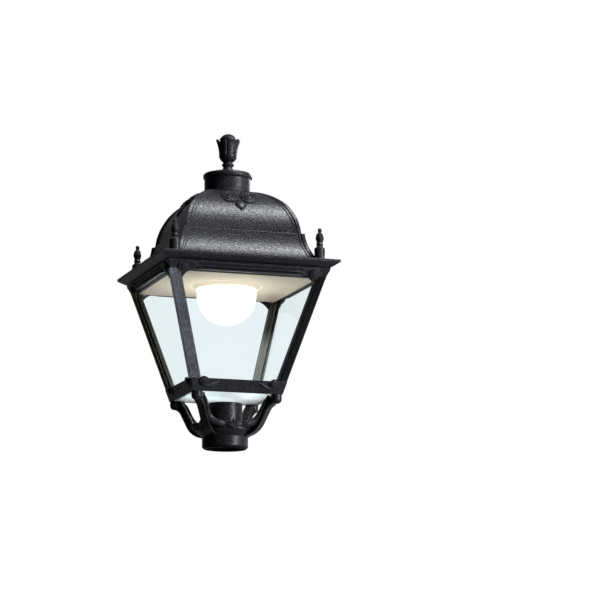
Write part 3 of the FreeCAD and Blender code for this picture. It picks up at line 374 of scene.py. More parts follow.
def cast_paint(name, look, lamplit_inside=False, wear_and_sheen=0.0):
    """Textured black paint over a casting: lined, it has a paler tone on faces that look inward, painted
    lamplight from the globe; wear is the share by which it is made paler all over, as rubbed wear and as
    a painted highlight."""
    found = bpy.data.materials.get(name)
    if found:
        return found
    material, tree, shader = new_material(name)
    cast = use_group(tree, cast_grain_group(),
                     {"Grain Scale": PEEL_SHARE / look.grain, "Grit Scale": 1.0 / look.grain})
    edge = use_group(tree, edge_group(), {"Radius": look.edge})
    # Drift pales the paint at random; the wear share pales it all over, partly as a painted highlight
    drift = spread(tree, cast.outputs["Drift"], wear_and_sheen, wear_and_sheen + DRIFT_WEAR)
    grit = spread(tree, cast.outputs["Grit"], 0.0, 1.0, 0.50, 0.70)
    # Edges turn paler: rubbed wear, and a painted highlight along them
    edge_wear_and_sheen = spread(tree, edge.outputs["Edge"], 0.0, EDGE_WEAR_AND_SHEEN, 0.0, 1.0)
    tone = look.colour
    for mask in (drift, grit, edge_wear_and_sheen):
        tone = mix_colour(tree, mask, tone, look.worn_and_sheen)
    # Faces that look inward turn paler: painted lamplight from the globe
    if lamplit_inside:
        tone = mix_colour(tree, inward_lamplight_mask(tree), tone, look.lamplit_lining)
    bump = add_node(tree, "ShaderNodeBump", {"Strength": 1.0, "Distance": look.relief})
    rough = spread(tree, cast.outputs["Height"], look.roughness - 0.08, look.roughness + 0.1, 0.5, 0.95)
    join(tree, (tone, shader.inputs["Base Color"]), (rough, shader.inputs["Roughness"]),
         (cast.outputs["Height"], bump.inputs["Height"]), (edge.outputs["Normal"], bump.inputs["Normal"]),
         (bump.outputs["Normal"], shader.inputs["Normal"]))
    # Gloss is lowered in hollows as painted shade, and is uneven from grain to grain
    hollow_shade = add_node(tree, "ShaderNodeAmbientOcclusion", {"Distance": look.hollow_shade}, samples=6)
    shaded_grainy_gloss = add_node(tree, "ShaderNodeMath", operation="MULTIPLY")
    join(tree, (spread(tree, hollow_shade.outputs["AO"], 0.03, 0.335, 0.45, 0.88), shaded_grainy_gloss.inputs[0]),
         (spread(tree, cast.outputs["Grit"], 0.42, 1.55, 0.35, 0.65), shaded_grainy_gloss.inputs[1]),
         (shaded_grainy_gloss.outputs[0], shader.inputs["Specular IOR Level"]))
    return material


def carving_sheen_paint(context):
    """The castings' paint, made paler as carving that stands proud: rubbed wear and a painted highlight on
    the raised ornament.
    """
    look = context.scene.lantern_paint
    return cast_paint("rubbed_sheen_black_paint", look, wear_and_sheen=look.carving_wear_and_sheen)


def clear_glass(name, tint, roughness, bending, glow=0.0):
    """Glass with faint smears and waves; light and shadow go straight through it with its tint, and a glow,
    where given, is painted light that makes the pane shine.
    """
    material, tree, shader = new_material(name)
    place = add_node(tree, "ShaderNodeTexCoord")
    smear = add_node(tree, "ShaderNodeTexNoise", {"Scale": 14.0, "Detail": 4.0})
    wave = add_node(tree, "ShaderNodeTexNoise", {"Scale": 9.0, "Detail": 1.0})
    bump = add_node(tree, "ShaderNodeBump", {"Strength": 0.25, "Distance": 0.0002})
    rough = spread(tree, smear.outputs["Fac"], roughness * 0.6, roughness * 1.4)
    tone = mix_colour(tree, smear.outputs["Fac"], tint, scaled(tint, 1.02))
    join(tree, (place.outputs["Object"], smear.inputs["Vector"]),
         (place.outputs["Object"], wave.inputs["Vector"]), (rough, shader.inputs["Roughness"]),
         (tone, shader.inputs["Base Color"]), (tone, shader.inputs["Emission Color"]),
         (wave.outputs["Fac"], bump.inputs["Height"]), (bump.outputs["Normal"], shader.inputs["Normal"]))
    shader.inputs["Transmission Weight"].default_value = 1.0
    # The glow is painted light on a pane, which is no lamp
    shader.inputs["Emission Strength"].default_value = glow
    shader.inputs["IOR"].default_value = bending
    shader.inputs["Specular IOR Level"].default_value = 0.03
    light = add_node(tree, "ShaderNodeLightPath")
    passing = add_node(tree, "ShaderNodeBsdfTransparent", {"Color": (*tint, 1.0)})
    either = add_node(tree, "ShaderNodeMixShader")
    clear = add_node(tree, "ShaderNodeMath", operation="MAXIMUM")
    surface = tree.nodes["Material Output"]
    join(tree, (light.outputs["Is Shadow Ray"], clear.inputs[0]),
         (light.outputs["Is Diffuse Ray"], clear.inputs[1]), (clear.outputs[0], either.inputs[0]),
         (shader.outputs[0], either.inputs[1]), (passing.outputs[0], either.inputs[2]),
         (either.outputs[0], surface.inputs["Surface"]))
    return material


def dress(names, material):
    """Gives nodes of the frame one material."""
    for name in names:
        node = NODES[name]
        node.data.materials.clear()
        node.data.materials.append(material)


# Lines of the castings that the ornament lies on, in metres
CAGE_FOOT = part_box("lower_rail")[0].z
CAGE_HALF = 0.0727
CAGE_SPREAD = 0.298
CAGE_TILT = math.atan(CAGE_SPREAD)
DOME_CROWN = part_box("roof_shell")[1].z
DOME_STOPS = ((0.0924, 0.3356), (0.0753, 0.3826), (0.038, DOME_CROWN))
DOME_BENDS = (0.09, 0.08)
DISH_RADIUS = 0.048

# The globe, and the gap round it over which the enamel's paler ring ends; the ring is painted light from the
# globe
GLOBE_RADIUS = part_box("globe_bulb")[1].x
PAINTED_RING_GAP = (0.0085, 0.0100)

# How deep a patch of ornament goes into its casting
SINK = 0.0006
# A rose's place across and along its panel, the share of its size that its eye takes, and the leaf's stops
ROSE_PLACE = (0.0160, 0.0690)
ROSE_EYE = 0.02
ROSE_LEAF = ((0.0, 0.0590, 0.0020, 0.0016), (0.0, 0.0540, 0.0072, 0.0030), (0.0, 0.0480, 0.0100, 0.0036),
             (0.0, 0.0420, 0.0072, 0.0032), (0.0, 0.0370, 0.0028, 0.0022), (0.0, 0.0345, 0.0003, 0.0008))
# Place across and height of the scrolls' eyes, and the lower scrolls' size as a share of the upper ones
UPPER_EYE = (0.1058, 0.2656)
LOWER_EYE = (0.0568, 0.0971)
LOWER_SHARE = 0.84
# Height and reach of each bead, its rise and its ends' rise in half widths, and where its shoulders are as
# a share of its reach
BEAD_STOPS = ((0.2640, 0.080), (0.2690, 0.082), (0.2742, 0.110))
BEAD_RISE = 2.6
BEAD_END = 0.6
BEAD_SHOULDER = 0.97
# A palmette's foot, the leans of its lobes in degrees and how much shorter a flat lobe is; a lobe's stops
# are the share of its length, half width and rise, and LIP_CLEAR lifts it over the lip
LIP_CLEAR = 0.0022
PALMETTE_FOOT = 0.0310
LOBE_LEANS = (-72, -37, 0, 37, 72)
LOBE_SHORTER = 0.18
LOBE_STOPS = ((0.0, 0.0008, 0.0014), (0.35, 0.0016, 0.0028), (0.7, 0.0024, 0.0034), (0.92, 0.0018, 0.0030),
              (1.0, 0.0004, 0.0012))
PALMETTE_BAND = ((-0.0070, 0.0298, 0.0006, 0.0012), (0.0, 0.0290, 0.0020, 0.0045),
                 (0.0070, 0.0298, 0.0006, 0.0012))
# The lip's way down an arm as reach, height, offset and web, then round the rim as degrees and web
ARM_STOPS = ((0.0765, 0.0770, 0.0055, 0.0), (0.0705, 0.0660, 0.0055, 0.0010),
             (0.0645, 0.0555, 0.0057, 0.0025), (0.0592, 0.0477, 0.0070, 0.0045),
             (0.0545, 0.0421, 0.0110, 0.0060), (0.0490, 0.0389, 0.0170, 0.0055))
RIM_RADIUS = 0.0474
RIM_LEVEL = 0.0372
RIM_TURNS = ((16, 0.0045), (8, 0.0035))
RIM_WEB = 0.0030

# Size, place and aim of the studio's lamps, in metres
KEY_LAMP = (0.6, (1.0, -1.2, 2.85), (0.0, 0.0, 0.3))
SIDE_LAMP = (0.85, (2.0, -2.35, 0.55), (0.0, 0.0, 0.2))
BACK_LAMP = (1.0, (1.8, 1.9, 1.3), (0.0, 0.0, 0.3))
POST_LAMP = (0.5, (-1.5, -1.6, 0.30), (0.0, 0.0, 0.18))
CHAMBER_LAMP = (0.14, (0.0, 0.0, 0.105), (0.0, 0.0, 0.3))
LAMP_TINT = (0.92, 0.94, 1.0)
# Posts with a lamp of their own and its share of the accent's power, and the post that the side lamp spares
POST_SHARES = (("corner_post_front_left", 1.0), ("corner_post_back_right", 5.0))
SPARED_POST = "corner_post_front_right"
# The floor: half its width, its drop under the lantern, where it fades, and how far it fades in gloss
FLOOR_HALF = 6.0
FLOOR_DROP = 0.0005
FLOOR_FADE = (0.35, 1.0)
FLOOR_GLOSS_FADE = 0.8


# Mesh helpers: a patch is a list of rows of points, and each row is a closed loop
def curve_value(share, before, start, end, after):
    """One value on the smooth curve from start to end."""
    line = (end - before) * share
    square = (2 * before - 5 * start + 4 * end - after) * share ** 2
    cube = (3 * start - before - 3 * end + after) * share ** 3
    return (2 * start + line + square + cube) / 2


def smooth_path(stops, steps=6):
    """Points on a smooth curve through the stops, whatever their number of values."""
    ends = [stops[0], *stops, stops[-1]]
    points = []
    for spans in zip(ends, ends[1:], ends[2:], ends[3:]):
        for step in range(steps):
            points.append(tuple(curve_value(step / steps, *values) for values in zip(*spans)))
    return points + [tuple(stops[-1])]


def on_cage(across, up, out):
    """A spot on the front of the cage, lifted off its face."""
    half = CAGE_HALF + (up - CAGE_FOOT) * CAGE_SPREAD
    return Vector((across, -half - out * math.cos(CAGE_TILT), up - out * math.sin(CAGE_TILT)))


def on_dish(across, up, out):
    """A spot on the front of the dish, lifted off its wall."""
    turn = across / DISH_RADIUS
    reach = DISH_RADIUS + out
    return Vector((reach * math.sin(turn), -reach * math.cos(turn), up))


def dome_line(count=24):
    """The profile of a dome panel: distances along it, with the reach and height at each."""
    stops = [Vector(stop) for stop in DOME_STOPS]
    points = []
    for start, end, bend in zip(stops, stops[1:], DOME_BENDS):
        chord = end - start
        across = Vector((-chord.y, chord.x)).normalized()
        centre = (start + end) / 2 + across * math.sqrt(bend * bend - chord.length_squared / 4)
        first = math.atan2(start.y - centre.y, start.x - centre.x)
        sweep = math.atan2(end.y - centre.y, end.x - centre.x) - first
        for step in range(count + 1):
            turn = first + sweep * step / count
            spot = centre + Vector((math.cos(turn), math.sin(turn))) * bend
            if not points or (spot - points[-1][1]).length > 1e-6:
                length = points[-1][0] + (spot - points[-1][1]).length if points else 0.0
                points.append((length, spot))
    return points


def on_dome():
    """Returns a function that gives a spot on the front panel of the dome, lifted off it."""
    line = dome_line()

    def place(across, along, out):
        index = 1
        while index < len(line) - 1 and line[index][0] < along:
            index += 1
        (near, start), (far, end) = line[index - 1], line[index]
        spot = start.lerp(end, (along - near) / (far - near))
        run = (end - start).normalized()
        return Vector((across, -spot.x - run.y * out, spot.y - run.x * out))
    return place


def ribbon(skin, stops, sides=8, steps=6):
    """A raised band on a skin; each stop is across, up, half width and rise."""
    path = smooth_path(stops, steps)
    rows = []
    for index, (across, up, half, rise) in enumerate(path):
        before, after = path[max(index - 1, 0)], path[min(index + 1, len(path) - 1)]
        run = Vector((after[0] - before[0], after[1] - before[1])).normalized()
        row = []
        for side in range(sides + 1):
            turn = math.pi * side / sides
            shift = half * math.cos(turn)
            row.append(skin(across - run.y * shift, up + run.x * shift, rise * math.sin(turn) - SINK))
        rows.append(row)
    return rows


def webbed_tube(path, radius, sides=12, tip=0.15, taper=3):
    """A round bar along points, thinned to a tip over a few points at both ends; a point's fourth value
    hangs a web below it."""
    points = [Vector(stop[:3]) for stop in path]
    rows = []
    for index, spot in enumerate(points):
        run = (points[min(index + 1, len(points) - 1)] - points[max(index - 1, 0)]).normalized()
        out = run.cross(Vector((0.0, 0.0, 1.0))).normalized()
        up = out.cross(run)
        size = radius * min(1.0, tip + min(index, len(points) - 1 - index) / taper)
        row = []
        for side in range(sides):
            turn = math.tau * side / sides
            web = path[index][3] * max(0.0, -math.sin(turn))
            row.append(spot + out * (math.cos(turn) * size) + up * (math.sin(turn) * size - web))
        rows.append(row)
    return rows


def add_piece(context, name, body, patches, material):
    """Joins patches on the front into one piece, repeats it on all four sides and lets it ride on a body."""
    shape = bmesh.new()
    for quarter in range(4):
        turn = Matrix.Rotation(math.pi / 2 * quarter, 3, "Z")
        for rows in patches:
            made = [[shape.verts.new(turn @ spot) for spot in row] for row in rows]
            for low, high in zip(made, made[1:]):
                for place in range(len(low)):
                    shape.faces.new((low[place], low[place - 1], high[place - 1], high[place]))
            for row in (made[0], made[-1]):
                shape.faces.new(row)
    bmesh.ops.recalc_face_normals(shape, faces=shape.faces)
    mesh = bpy.data.meshes.new(name)
    shape.to_mesh(mesh)
    shape.free()
    mesh.shade_smooth()
    mesh.materials.append(material)
    piece = bpy.data.objects.new(name, mesh)
    context.scene.collection.objects.link(piece)
    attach(piece, body)
    return piece


class LANTERN_OT_castings(bpy.types.Operator):
    """Paints every casting in textured black."""

    bl_idname = "lantern.castings"
    bl_label = "Paint Castings"

    def execute(self, context):
        look = context.scene.lantern_paint
        dress(CASTINGS, cast_paint("textured_black_paint", look))
        # The cage castings take painted lamplight on their inner faces
        dress(CAGE_CASTINGS, cast_paint("lamplit_lined_black_paint", look, lamplit_inside=True))
        return {"FINISHED"}


class LANTERN_OT_glazing(bpy.types.Operator):
    """Glazes the side panes and the bottom pane, and blackens the seal."""

    bl_idname = "lantern.glazing"
    bl_label = "Glaze Panes"

    def execute(self, context):
        look = context.scene.lantern_glass
        dress(PANES, clear_glass("side_glass", look.tint, look.roughness, look.bending))
        # The bottom pane glows with painted lamplight
        dress(("bottom_pane",), clear_glass("bottom_glass", look.floor_tint, look.floor_roughness,
                                            look.floor_bending, look.floor_painted_glow))
        dress(("roof_seal",), self.rubber())
        return {"FINISHED"}

    def rubber(self):
        """Matt rubber with a fine skin."""
        low, high, rough = SEAL_RUBBER
        material, tree, shader = new_material("seal_rubber")
        place = add_node(tree, "ShaderNodeTexCoord")
        skin = add_node(tree, "ShaderNodeTexNoise", {"Scale": 700.0, "Detail": 3.0})
        bump = add_node(tree, "ShaderNodeBump", {"Strength": 0.4, "Distance": 0.0002})
        tone = mix_colour(tree, skin.outputs["Fac"], low, high)
        join(tree, (place.outputs["Object"], skin.inputs["Vector"]), (tone, shader.inputs["Base Color"]),
             (skin.outputs["Fac"], bump.inputs["Height"]), (bump.outputs["Normal"], shader.inputs["Normal"]),
             (spread(tree, skin.outputs["Fac"], rough, rough + 0.25), shader.inputs["Roughness"]))
        return material


class LANTERN_OT_lamp(bpy.types.Operator):
    """Finishes the globe bulb, reflector, holder, terminals and plated fittings."""

    bl_idname = "lantern.lamp"
    bl_label = "Fit Lamp"

    def execute(self, context):
        look = context.scene.lantern_lamp
        dress(("globe_bulb",), self.globe(look))
        dress(("reflector",), self.enamel(look))
        dress(("lampholder",), self.moulded("holder_ceramic", *HOLDER_CERAMIC))
        dress(("terminal_block",), self.moulded("terminal_plastic", *TERMINAL_PLASTIC))
        dress(STEEL, self.plated(look))
        return {"FINISHED"}

    def globe(self, look):
        """Lit opal glass: its own face, the warm light that it casts, and a dimmer image in gloss."""
        material, tree, shader = new_material("opal_globe")
        place = add_node(tree, "ShaderNodeTexCoord")
        cloud = add_node(tree, "ShaderNodeTexNoise", {"Scale": 18.0, "Detail": 2.0})
        tone = mix_colour(tree, cloud.outputs["Fac"], scaled(look.glow, 0.96), look.glow)
        join(tree, (place.outputs["Object"], cloud.inputs["Vector"]),
             (tone, shader.inputs["Emission Color"]), (tone, shader.inputs["Base Color"]),
             (spread(tree, cloud.outputs["Fac"], 0.1, 0.2), shader.inputs["Roughness"]))
        shader.inputs["Emission Strength"].default_value = look.face
        light = add_node(tree, "ShaderNodeLightPath")
        glow = add_node(tree, "ShaderNodeEmission",
                        {"Color": (*look.warmth, 1.0), "Strength": look.strength})
        dim = add_node(tree, "ShaderNodeEmission", {"Color": (*look.mirrored, 1.0), "Strength": 1.0})
        cast = add_node(tree, "ShaderNodeMixShader")
        either = add_node(tree, "ShaderNodeMixShader")
        join(tree, (light.outputs["Is Reflection Ray"], cast.inputs[0]), (shader.outputs[0], cast.inputs[1]),
             (dim.outputs[0], cast.inputs[2]), (light.outputs["Is Diffuse Ray"], either.inputs[0]),
             (cast.outputs[0], either.inputs[1]), (glow.outputs[0], either.inputs[2]),
             (either.outputs[0], tree.nodes["Material Output"].inputs["Surface"]))
        return material

    def enamel(self, look):
        """Cream enamel, paler in the ring round the globe: painted light over the globe's shadow."""
        material, tree, shader = new_material("cream_enamel")
        cast = use_group(tree, cast_grain_group(), {"Grain Scale": 380.0, "Grit Scale": 1600.0})
        drift = spread(tree, cast.outputs["Drift"], 0.0, 1.0)
        drifted = mix_colour(tree, drift, look.enamel, scaled(look.enamel, 0.88))
        place = add_node(tree, "ShaderNodeTexCoord")
        flat = add_node(tree, "ShaderNodeVectorMath", {1: (1.0, 1.0, 0.0)}, operation="MULTIPLY")
        reach = add_node(tree, "ShaderNodeVectorMath", operation="LENGTH")
        join(tree, (place.outputs["Object"], flat.inputs[0]), (flat.outputs[0], reach.inputs[0]))
        start, end = (GLOBE_RADIUS + gap for gap in PAINTED_RING_GAP)
        # Paler ring round the globe: painted light on the enamel
        ring = spread(tree, reach.outputs["Value"], 1.0, 0.0, start, end)
        tone = mix_colour(tree, ring, drifted, scaled(look.enamel, look.ring))
        bump = add_node(tree, "ShaderNodeBump", {"Strength": 0.3, "Distance": 0.00012})
        join(tree, (tone, shader.inputs["Base Color"]), (cast.outputs["Height"], bump.inputs["Height"]),
             (bump.outputs["Normal"], shader.inputs["Normal"]),
             (spread(tree, cast.outputs["Height"], 0.4, 0.52), shader.inputs["Roughness"]))
        return material

    def moulded(self, name, low, high, rough):
        """Ceramic or plastic with a slow drift between two tones."""
        material, tree, shader = new_material(name)
        cast = use_group(tree, cast_grain_group(), {"Grain Scale": 260.0, "Grit Scale": 1200.0})
        tone = mix_colour(tree, spread(tree, cast.outputs["Drift"], 0.0, 1.0), low, high)
        bump = add_node(tree, "ShaderNodeBump", {"Strength": 0.2, "Distance": 0.0001})
        join(tree, (tone, shader.inputs["Base Color"]), (cast.outputs["Height"], bump.inputs["Height"]),
             (bump.outputs["Normal"], shader.inputs["Normal"]),
             (spread(tree, cast.outputs["Height"], rough, rough + 0.12), shader.inputs["Roughness"]))
        return material

    def plated(self, look):
        """Zinc plate with a fine brushed grain."""
        material, tree, shader = new_material("plated_steel")
        place = add_node(tree, "ShaderNodeTexCoord")
        stretch = add_node(tree, "ShaderNodeMapping", {"Scale": (60.0, 900.0, 900.0)})
        brush = add_node(tree, "ShaderNodeTexNoise", {"Scale": 1.0, "Detail": 4.0})
        edge = use_group(tree, edge_group(), {"Radius": 0.0004})
        bump = add_node(tree, "ShaderNodeBump", {"Strength": 0.25, "Distance": 0.00006})
        tone = mix_colour(tree, brush.outputs["Fac"], scaled(look.steel, 0.8), look.steel)
        join(tree, (place.outputs["Object"], stretch.inputs["Vector"]),
             (stretch.outputs["Vector"], brush.inputs["Vector"]), (tone, shader.inputs["Base Color"]),
             (brush.outputs["Fac"], bump.inputs["Height"]), (edge.outputs["Normal"], bump.inputs["Normal"]),
             (bump.outputs["Normal"], shader.inputs["Normal"]),
             (spread(tree, brush.outputs["Fac"], 0.25, 0.42), shader.inputs["Roughness"]))
        shader.inputs["Metallic"].default_value = 1.0
        return material


class LANTERN_OT_roses(bpy.types.Operator):
    """Lays a pair of roses and a leaf on each panel of the dome."""

    bl_idname = "lantern.roses"
    bl_label = "Lay Dome Roses"

    def execute(self, context):
        look = context.scene.lantern_ornament
        skin = on_dome()
        across, along = ROSE_PLACE
        patches = [self.rose(skin, across * side, along, look) for side in (-1, 1)]
        patches.append(ribbon(skin, ROSE_LEAF, 12))
        add_piece(context, "dome_roses", "roof", patches,
                  cast_paint("textured_black_paint", context.scene.lantern_paint))
        return {"FINISHED"}

    def rose(self, skin, across, along, look, rings=42, spokes=72, winds=3.0):
        """One petal lip that winds out from the middle and steps down behind itself, on a lobed outline."""
        rows = []
        for ring in range(rings + 1):
            share = min(1.0, ROSE_EYE + ring / rings)
            row = []
            for spoke in range(spokes):
                turn = math.tau * spoke / spokes
                wind = (winds * share ** 0.8 + spoke / spokes) % 1.0
                # Five lobes round the outline, fuller toward the foot
                lobe = 0.90 + 0.10 * math.sqrt(abs(math.sin(2.5 * turn + 0.6))) - 0.06 * math.sin(turn)
                lift = look.rose_step * (0.4 + wind * wind) + look.rose_rise * (1 - share * share)
                if ring == rings:
                    lift = -SINK
                row.append(skin(across + look.rose_half * share * lobe * math.cos(turn),
                                along + look.rose_reach * share * lobe * math.sin(turn), lift))
            rows.append(row)
        return rows


class LANTERN_OT_scrolls(bpy.types.Operator):
    """Runs a leaf scroll inward from every button of both rails."""

    bl_idname = "lantern.scrolls"
    bl_label = "Run Rail Scrolls"

    def execute(self, context):
        look = context.scene.lantern_ornament
        # The upper scrolls have every part of the motif, the lower ones only its volute and leaf
        rails = (("upper_scrolls", UPPER_EYE, 1, look.scroll, 3),
                 ("lower_scrolls", LOWER_EYE, -1, look.scroll * LOWER_SHARE, 1))
        for name, eye, lift, size, parts in rails:
            patches = []
            for side in (-1, 1):
                for stops in self.motif()[:parts]:
                    placed = []
                    for across, up, half, rise in stops:
                        spot = (eye[0] - across * size) * side, eye[1] + up * size * lift
                        placed.append((*spot, half * size, rise * size))
                    patches.append(ribbon(on_cage, placed))
            add_piece(context, name, "cage", patches, carving_sheen_paint(context))
        return {"FINISHED"}

    def motif(self):
        """Volute with a leaf, a returning curl and a vein, in shares of the scroll's length; the volute
        winds out through 500 degrees."""
        volute = []
        steps = 14
        for step in range(steps + 1):
            share = step / steps
            turn = math.radians(90 + 500 * (1 - share))
            reach = 0.10 + 0.18 * share
            half = 0.030 + 0.030 * share
            volute.append((reach * math.cos(turn), reach * math.sin(turn), half, 0.105))
        leaf = [(0.24, 0.285, 0.085, 0.105), (0.50, 0.22, 0.115, 0.110), (0.76, 0.08, 0.075, 0.085),
                (1.0, -0.05, 0.008, 0.03)]
        curl = [(0.42, 0.00, 0.008, 0.03), (0.66, 0.05, 0.05, 0.08), (0.90, 0.16, 0.06, 0.09),
                (0.98, 0.29, 0.055, 0.09), (0.88, 0.34, 0.045, 0.08), (0.83, 0.27, 0.03, 0.06)]
        vein = [(0.28, 0.30, 0.01, 0.115), (0.52, 0.25, 0.022, 0.138), (0.78, 0.10, 0.012, 0.10)]
        return volute + leaf, curl, vein


class LANTERN_OT_beads(bpy.types.Operator):
    """Runs three beads along the upper rail between its gussets."""

    bl_idname = "lantern.beads"
    bl_label = "Run Rail Beads"

    def execute(self, context):
        half = context.scene.lantern_ornament.bead
        low, high = half * BEAD_END, half * BEAD_RISE
        patches = []
        for up, reach in BEAD_STOPS:
            shoulder = reach * BEAD_SHOULDER
            stops = [(-reach, up, half, low), (-shoulder, up, half, high), (0.0, up, half, high),
                     (shoulder, up, half, high), (reach, up, half, low)]
            patches.append(ribbon(on_cage, stops, 8, 2))
        add_piece(context, "rail_beads", "cage", patches, carving_sheen_paint(context))
        return {"FINISHED"}


class LANTERN_OT_palmettes(bpy.types.Operator):
    """Stands a palmette on the rim of the dish at the middle of each side."""

    bl_idname = "lantern.palmettes"
    bl_label = "Stand Palmettes"

    def execute(self, context):
        size = context.scene.lantern_ornament.palmette
        patches = []
        for lean in LOBE_LEANS:
            turn = math.radians(lean)
            reach = size * (1.0 - LOBE_SHORTER * abs(math.sin(turn)))
            stops = []
            for share, half, rise in LOBE_STOPS:
                across, up = math.sin(turn) * reach * share, math.cos(turn) * reach * share
                stops.append((across, PALMETTE_FOOT + up, half, rise + LIP_CLEAR))
            patches.append(ribbon(on_dish, stops))
        patches.append(ribbon(on_dish, PALMETTE_BAND))
        add_piece(context, "dish_palmettes", "cage", patches, carving_sheen_paint(context))
        return {"FINISHED"}


class LANTERN_OT_lips(bpy.types.Operator):
    """Draws a lip down one arm, round the rim of the dish and up the next arm."""

    bl_idname = "lantern.lips"
    bl_label = "Draw Arm Lips"

    def execute(self, context):
        radius = context.scene.lantern_ornament.lip
        along = Vector((1.0, -1.0, 0.0)).normalized()
        beside = Vector((-1.0, -1.0, 0.0)).normalized()
        half = []
        for reach, up, aside, web in ARM_STOPS:
            spot = along * reach + beside * aside
            half.append((spot.x, spot.y, up, web))
        for turn, web in RIM_TURNS:
            angle = math.radians(turn)
            half.append((RIM_RADIUS * math.sin(angle), -RIM_RADIUS * math.cos(angle), RIM_LEVEL, web))
        mirrored = [(-x, y, z, web) for x, y, z, web in reversed(half)]
        path = smooth_path([*half, (0.0, -RIM_RADIUS, RIM_LEVEL, RIM_WEB), *mirrored], 5)
        add_piece(context, "arm_lips", "cage", [webbed_tube(path, radius)],
                  cast_paint("textured_black_paint", context.scene.lantern_paint))
        return {"FINISHED"}


class LANTERN_OT_stage(bpy.types.Operator):
    """Lays the floor and sets the backdrop, lamps and camera."""

    bl_idname = "lantern.stage"
    bl_label = "Set Stage"

    def execute(self, context):
        setup = context.scene.lantern_stage
        self.floor(context, setup)
        self.surround(context, setup)
        self.lamp(context, "key_lamp", setup.key, *KEY_LAMP)
        side = self.lamp(context, "side_lamp", setup.side, *SIDE_LAMP)
        self.link(side, SPARED_POST, "EXCLUDE")
        back = self.lamp(context, "back_lamp", setup.back, *BACK_LAMP)
        back.visible_transmission = False
        self.accent(context, setup)
        self.bounce(context, setup)
        self.camera(context, setup)
        context.scene.view_settings.view_transform = "Standard"
        return {"FINISHED"}

    def floor(self, context, setup):
        """A pale floor, seen only from above, that fades out round the lantern and throws no light up."""
        mesh = bpy.data.meshes.new("studio_floor")
        shape = bmesh.new()
        bmesh.ops.create_grid(shape, x_segments=8, y_segments=8, size=FLOOR_HALF)
        shape.to_mesh(mesh)
        shape.free()
        floor = bpy.data.objects.new("studio_floor", mesh)
        floor.location.z = CAD_BOX[0].z - FLOOR_DROP
        context.scene.collection.objects.link(floor)
        material, tree, shader = new_material("pale_floor")
        place = add_node(tree, "ShaderNodeTexCoord")
        mottle = add_node(tree, "ShaderNodeTexNoise", {"Scale": 3.0, "Detail": 2.0})
        tone = mix_colour(tree, mottle.outputs["Fac"], setup.floor, scaled(setup.floor, 1.03))
        shader.inputs["Roughness"].default_value = 0.9
        shader.inputs["Specular IOR Level"].default_value = 0.1
        spot = add_node(tree, "ShaderNodeNewGeometry")
        light = add_node(tree, "ShaderNodeLightPath")
        unseen = add_node(tree, "ShaderNodeMath", operation="MAXIMUM")
        away = add_node(tree, "ShaderNodeVectorMath", operation="LENGTH")
        gentle = add_node(tree, "ShaderNodeMath", operation="MAXIMUM")
        fades = add_node(tree, "ShaderNodeMath", {1: FLOOR_GLOSS_FADE}, operation="MULTIPLY_ADD",
                         use_clamp=True)
        gone = add_node(tree, "ShaderNodeBsdfTransparent")
        either = add_node(tree, "ShaderNodeMixShader")
        surface = tree.nodes["Material Output"]
        join(tree, (place.outputs["Object"], mottle.inputs["Vector"]), (tone, shader.inputs["Base Color"]),
             (spot.outputs["Backfacing"], unseen.inputs[0]),
             (light.outputs["Is Diffuse Ray"], unseen.inputs[1]), (unseen.outputs[0], gentle.inputs[0]),
             (place.outputs["Object"], away.inputs[0]),
             (spread(tree, away.outputs["Value"], 0.0, 1.0, *FLOOR_FADE), gentle.inputs[1]),
             (light.outputs["Is Glossy Ray"], fades.inputs[0]), (gentle.outputs[0], fades.inputs[2]),
             (fades.outputs[0], either.inputs[0]), (shader.outputs[0], either.inputs[1]),
             (gone.outputs[0], either.inputs[2]), (either.outputs[0], surface.inputs["Surface"]))
        mesh.materials.append(material)

    def surround(self, context, setup):
        """Even fill light, and a white backdrop for the eye and through glass; in gloss the backdrop is
        dimmer, and darkens to the left and to the back."""
        world = bpy.data.worlds.new("studio")
        world.use_nodes = True
        tree = world.node_tree
        fill = tree.nodes["Background"]
        fill.inputs["Color"].default_value = (1.0, 1.0, 1.0, 1.0)
        fill.inputs["Strength"].default_value = setup.fill
        white = add_node(tree, "ShaderNodeBackground", {"Color": (1.0, 1.0, 1.0, 1.0), "Strength": 1.0})
        light = add_node(tree, "ShaderNodeLightPath")
        seen = add_node(tree, "ShaderNodeMath", operation="MAXIMUM")
        shown = add_node(tree, "ShaderNodeMath", operation="MAXIMUM")
        shaded = add_node(tree, "ShaderNodeMath", operation="MULTIPLY")
        either = add_node(tree, "ShaderNodeMixShader")
        place = add_node(tree, "ShaderNodeTexCoord")
        axes = add_node(tree, "ShaderNodeSeparateXYZ")
        lit = add_node(tree, "ShaderNodeMath", operation="MULTIPLY")
        join(tree, (place.outputs["Generated"], axes.inputs[0]),
             (spread(tree, axes.outputs["X"], 0.0, 0.55, -0.65, 0.7), lit.inputs[0]),
             (spread(tree, axes.outputs["Y"], 1.0, 0.65, 0.1, 0.9), lit.inputs[1]),
             (light.outputs["Is Glossy Ray"], shaded.inputs[0]), (lit.outputs[0], shaded.inputs[1]),
             (light.outputs["Is Camera Ray"], seen.inputs[0]), (shaded.outputs[0], seen.inputs[1]),
             (seen.outputs[0], shown.inputs[0]), (light.outputs["Is Transmission Ray"], shown.inputs[1]),
             (shown.outputs[0], either.inputs[0]), (fill.outputs[0], either.inputs[1]),
             (white.outputs[0], either.inputs[2]),
             (either.outputs[0], tree.nodes["World Output"].inputs["Surface"]))
        context.scene.world = world

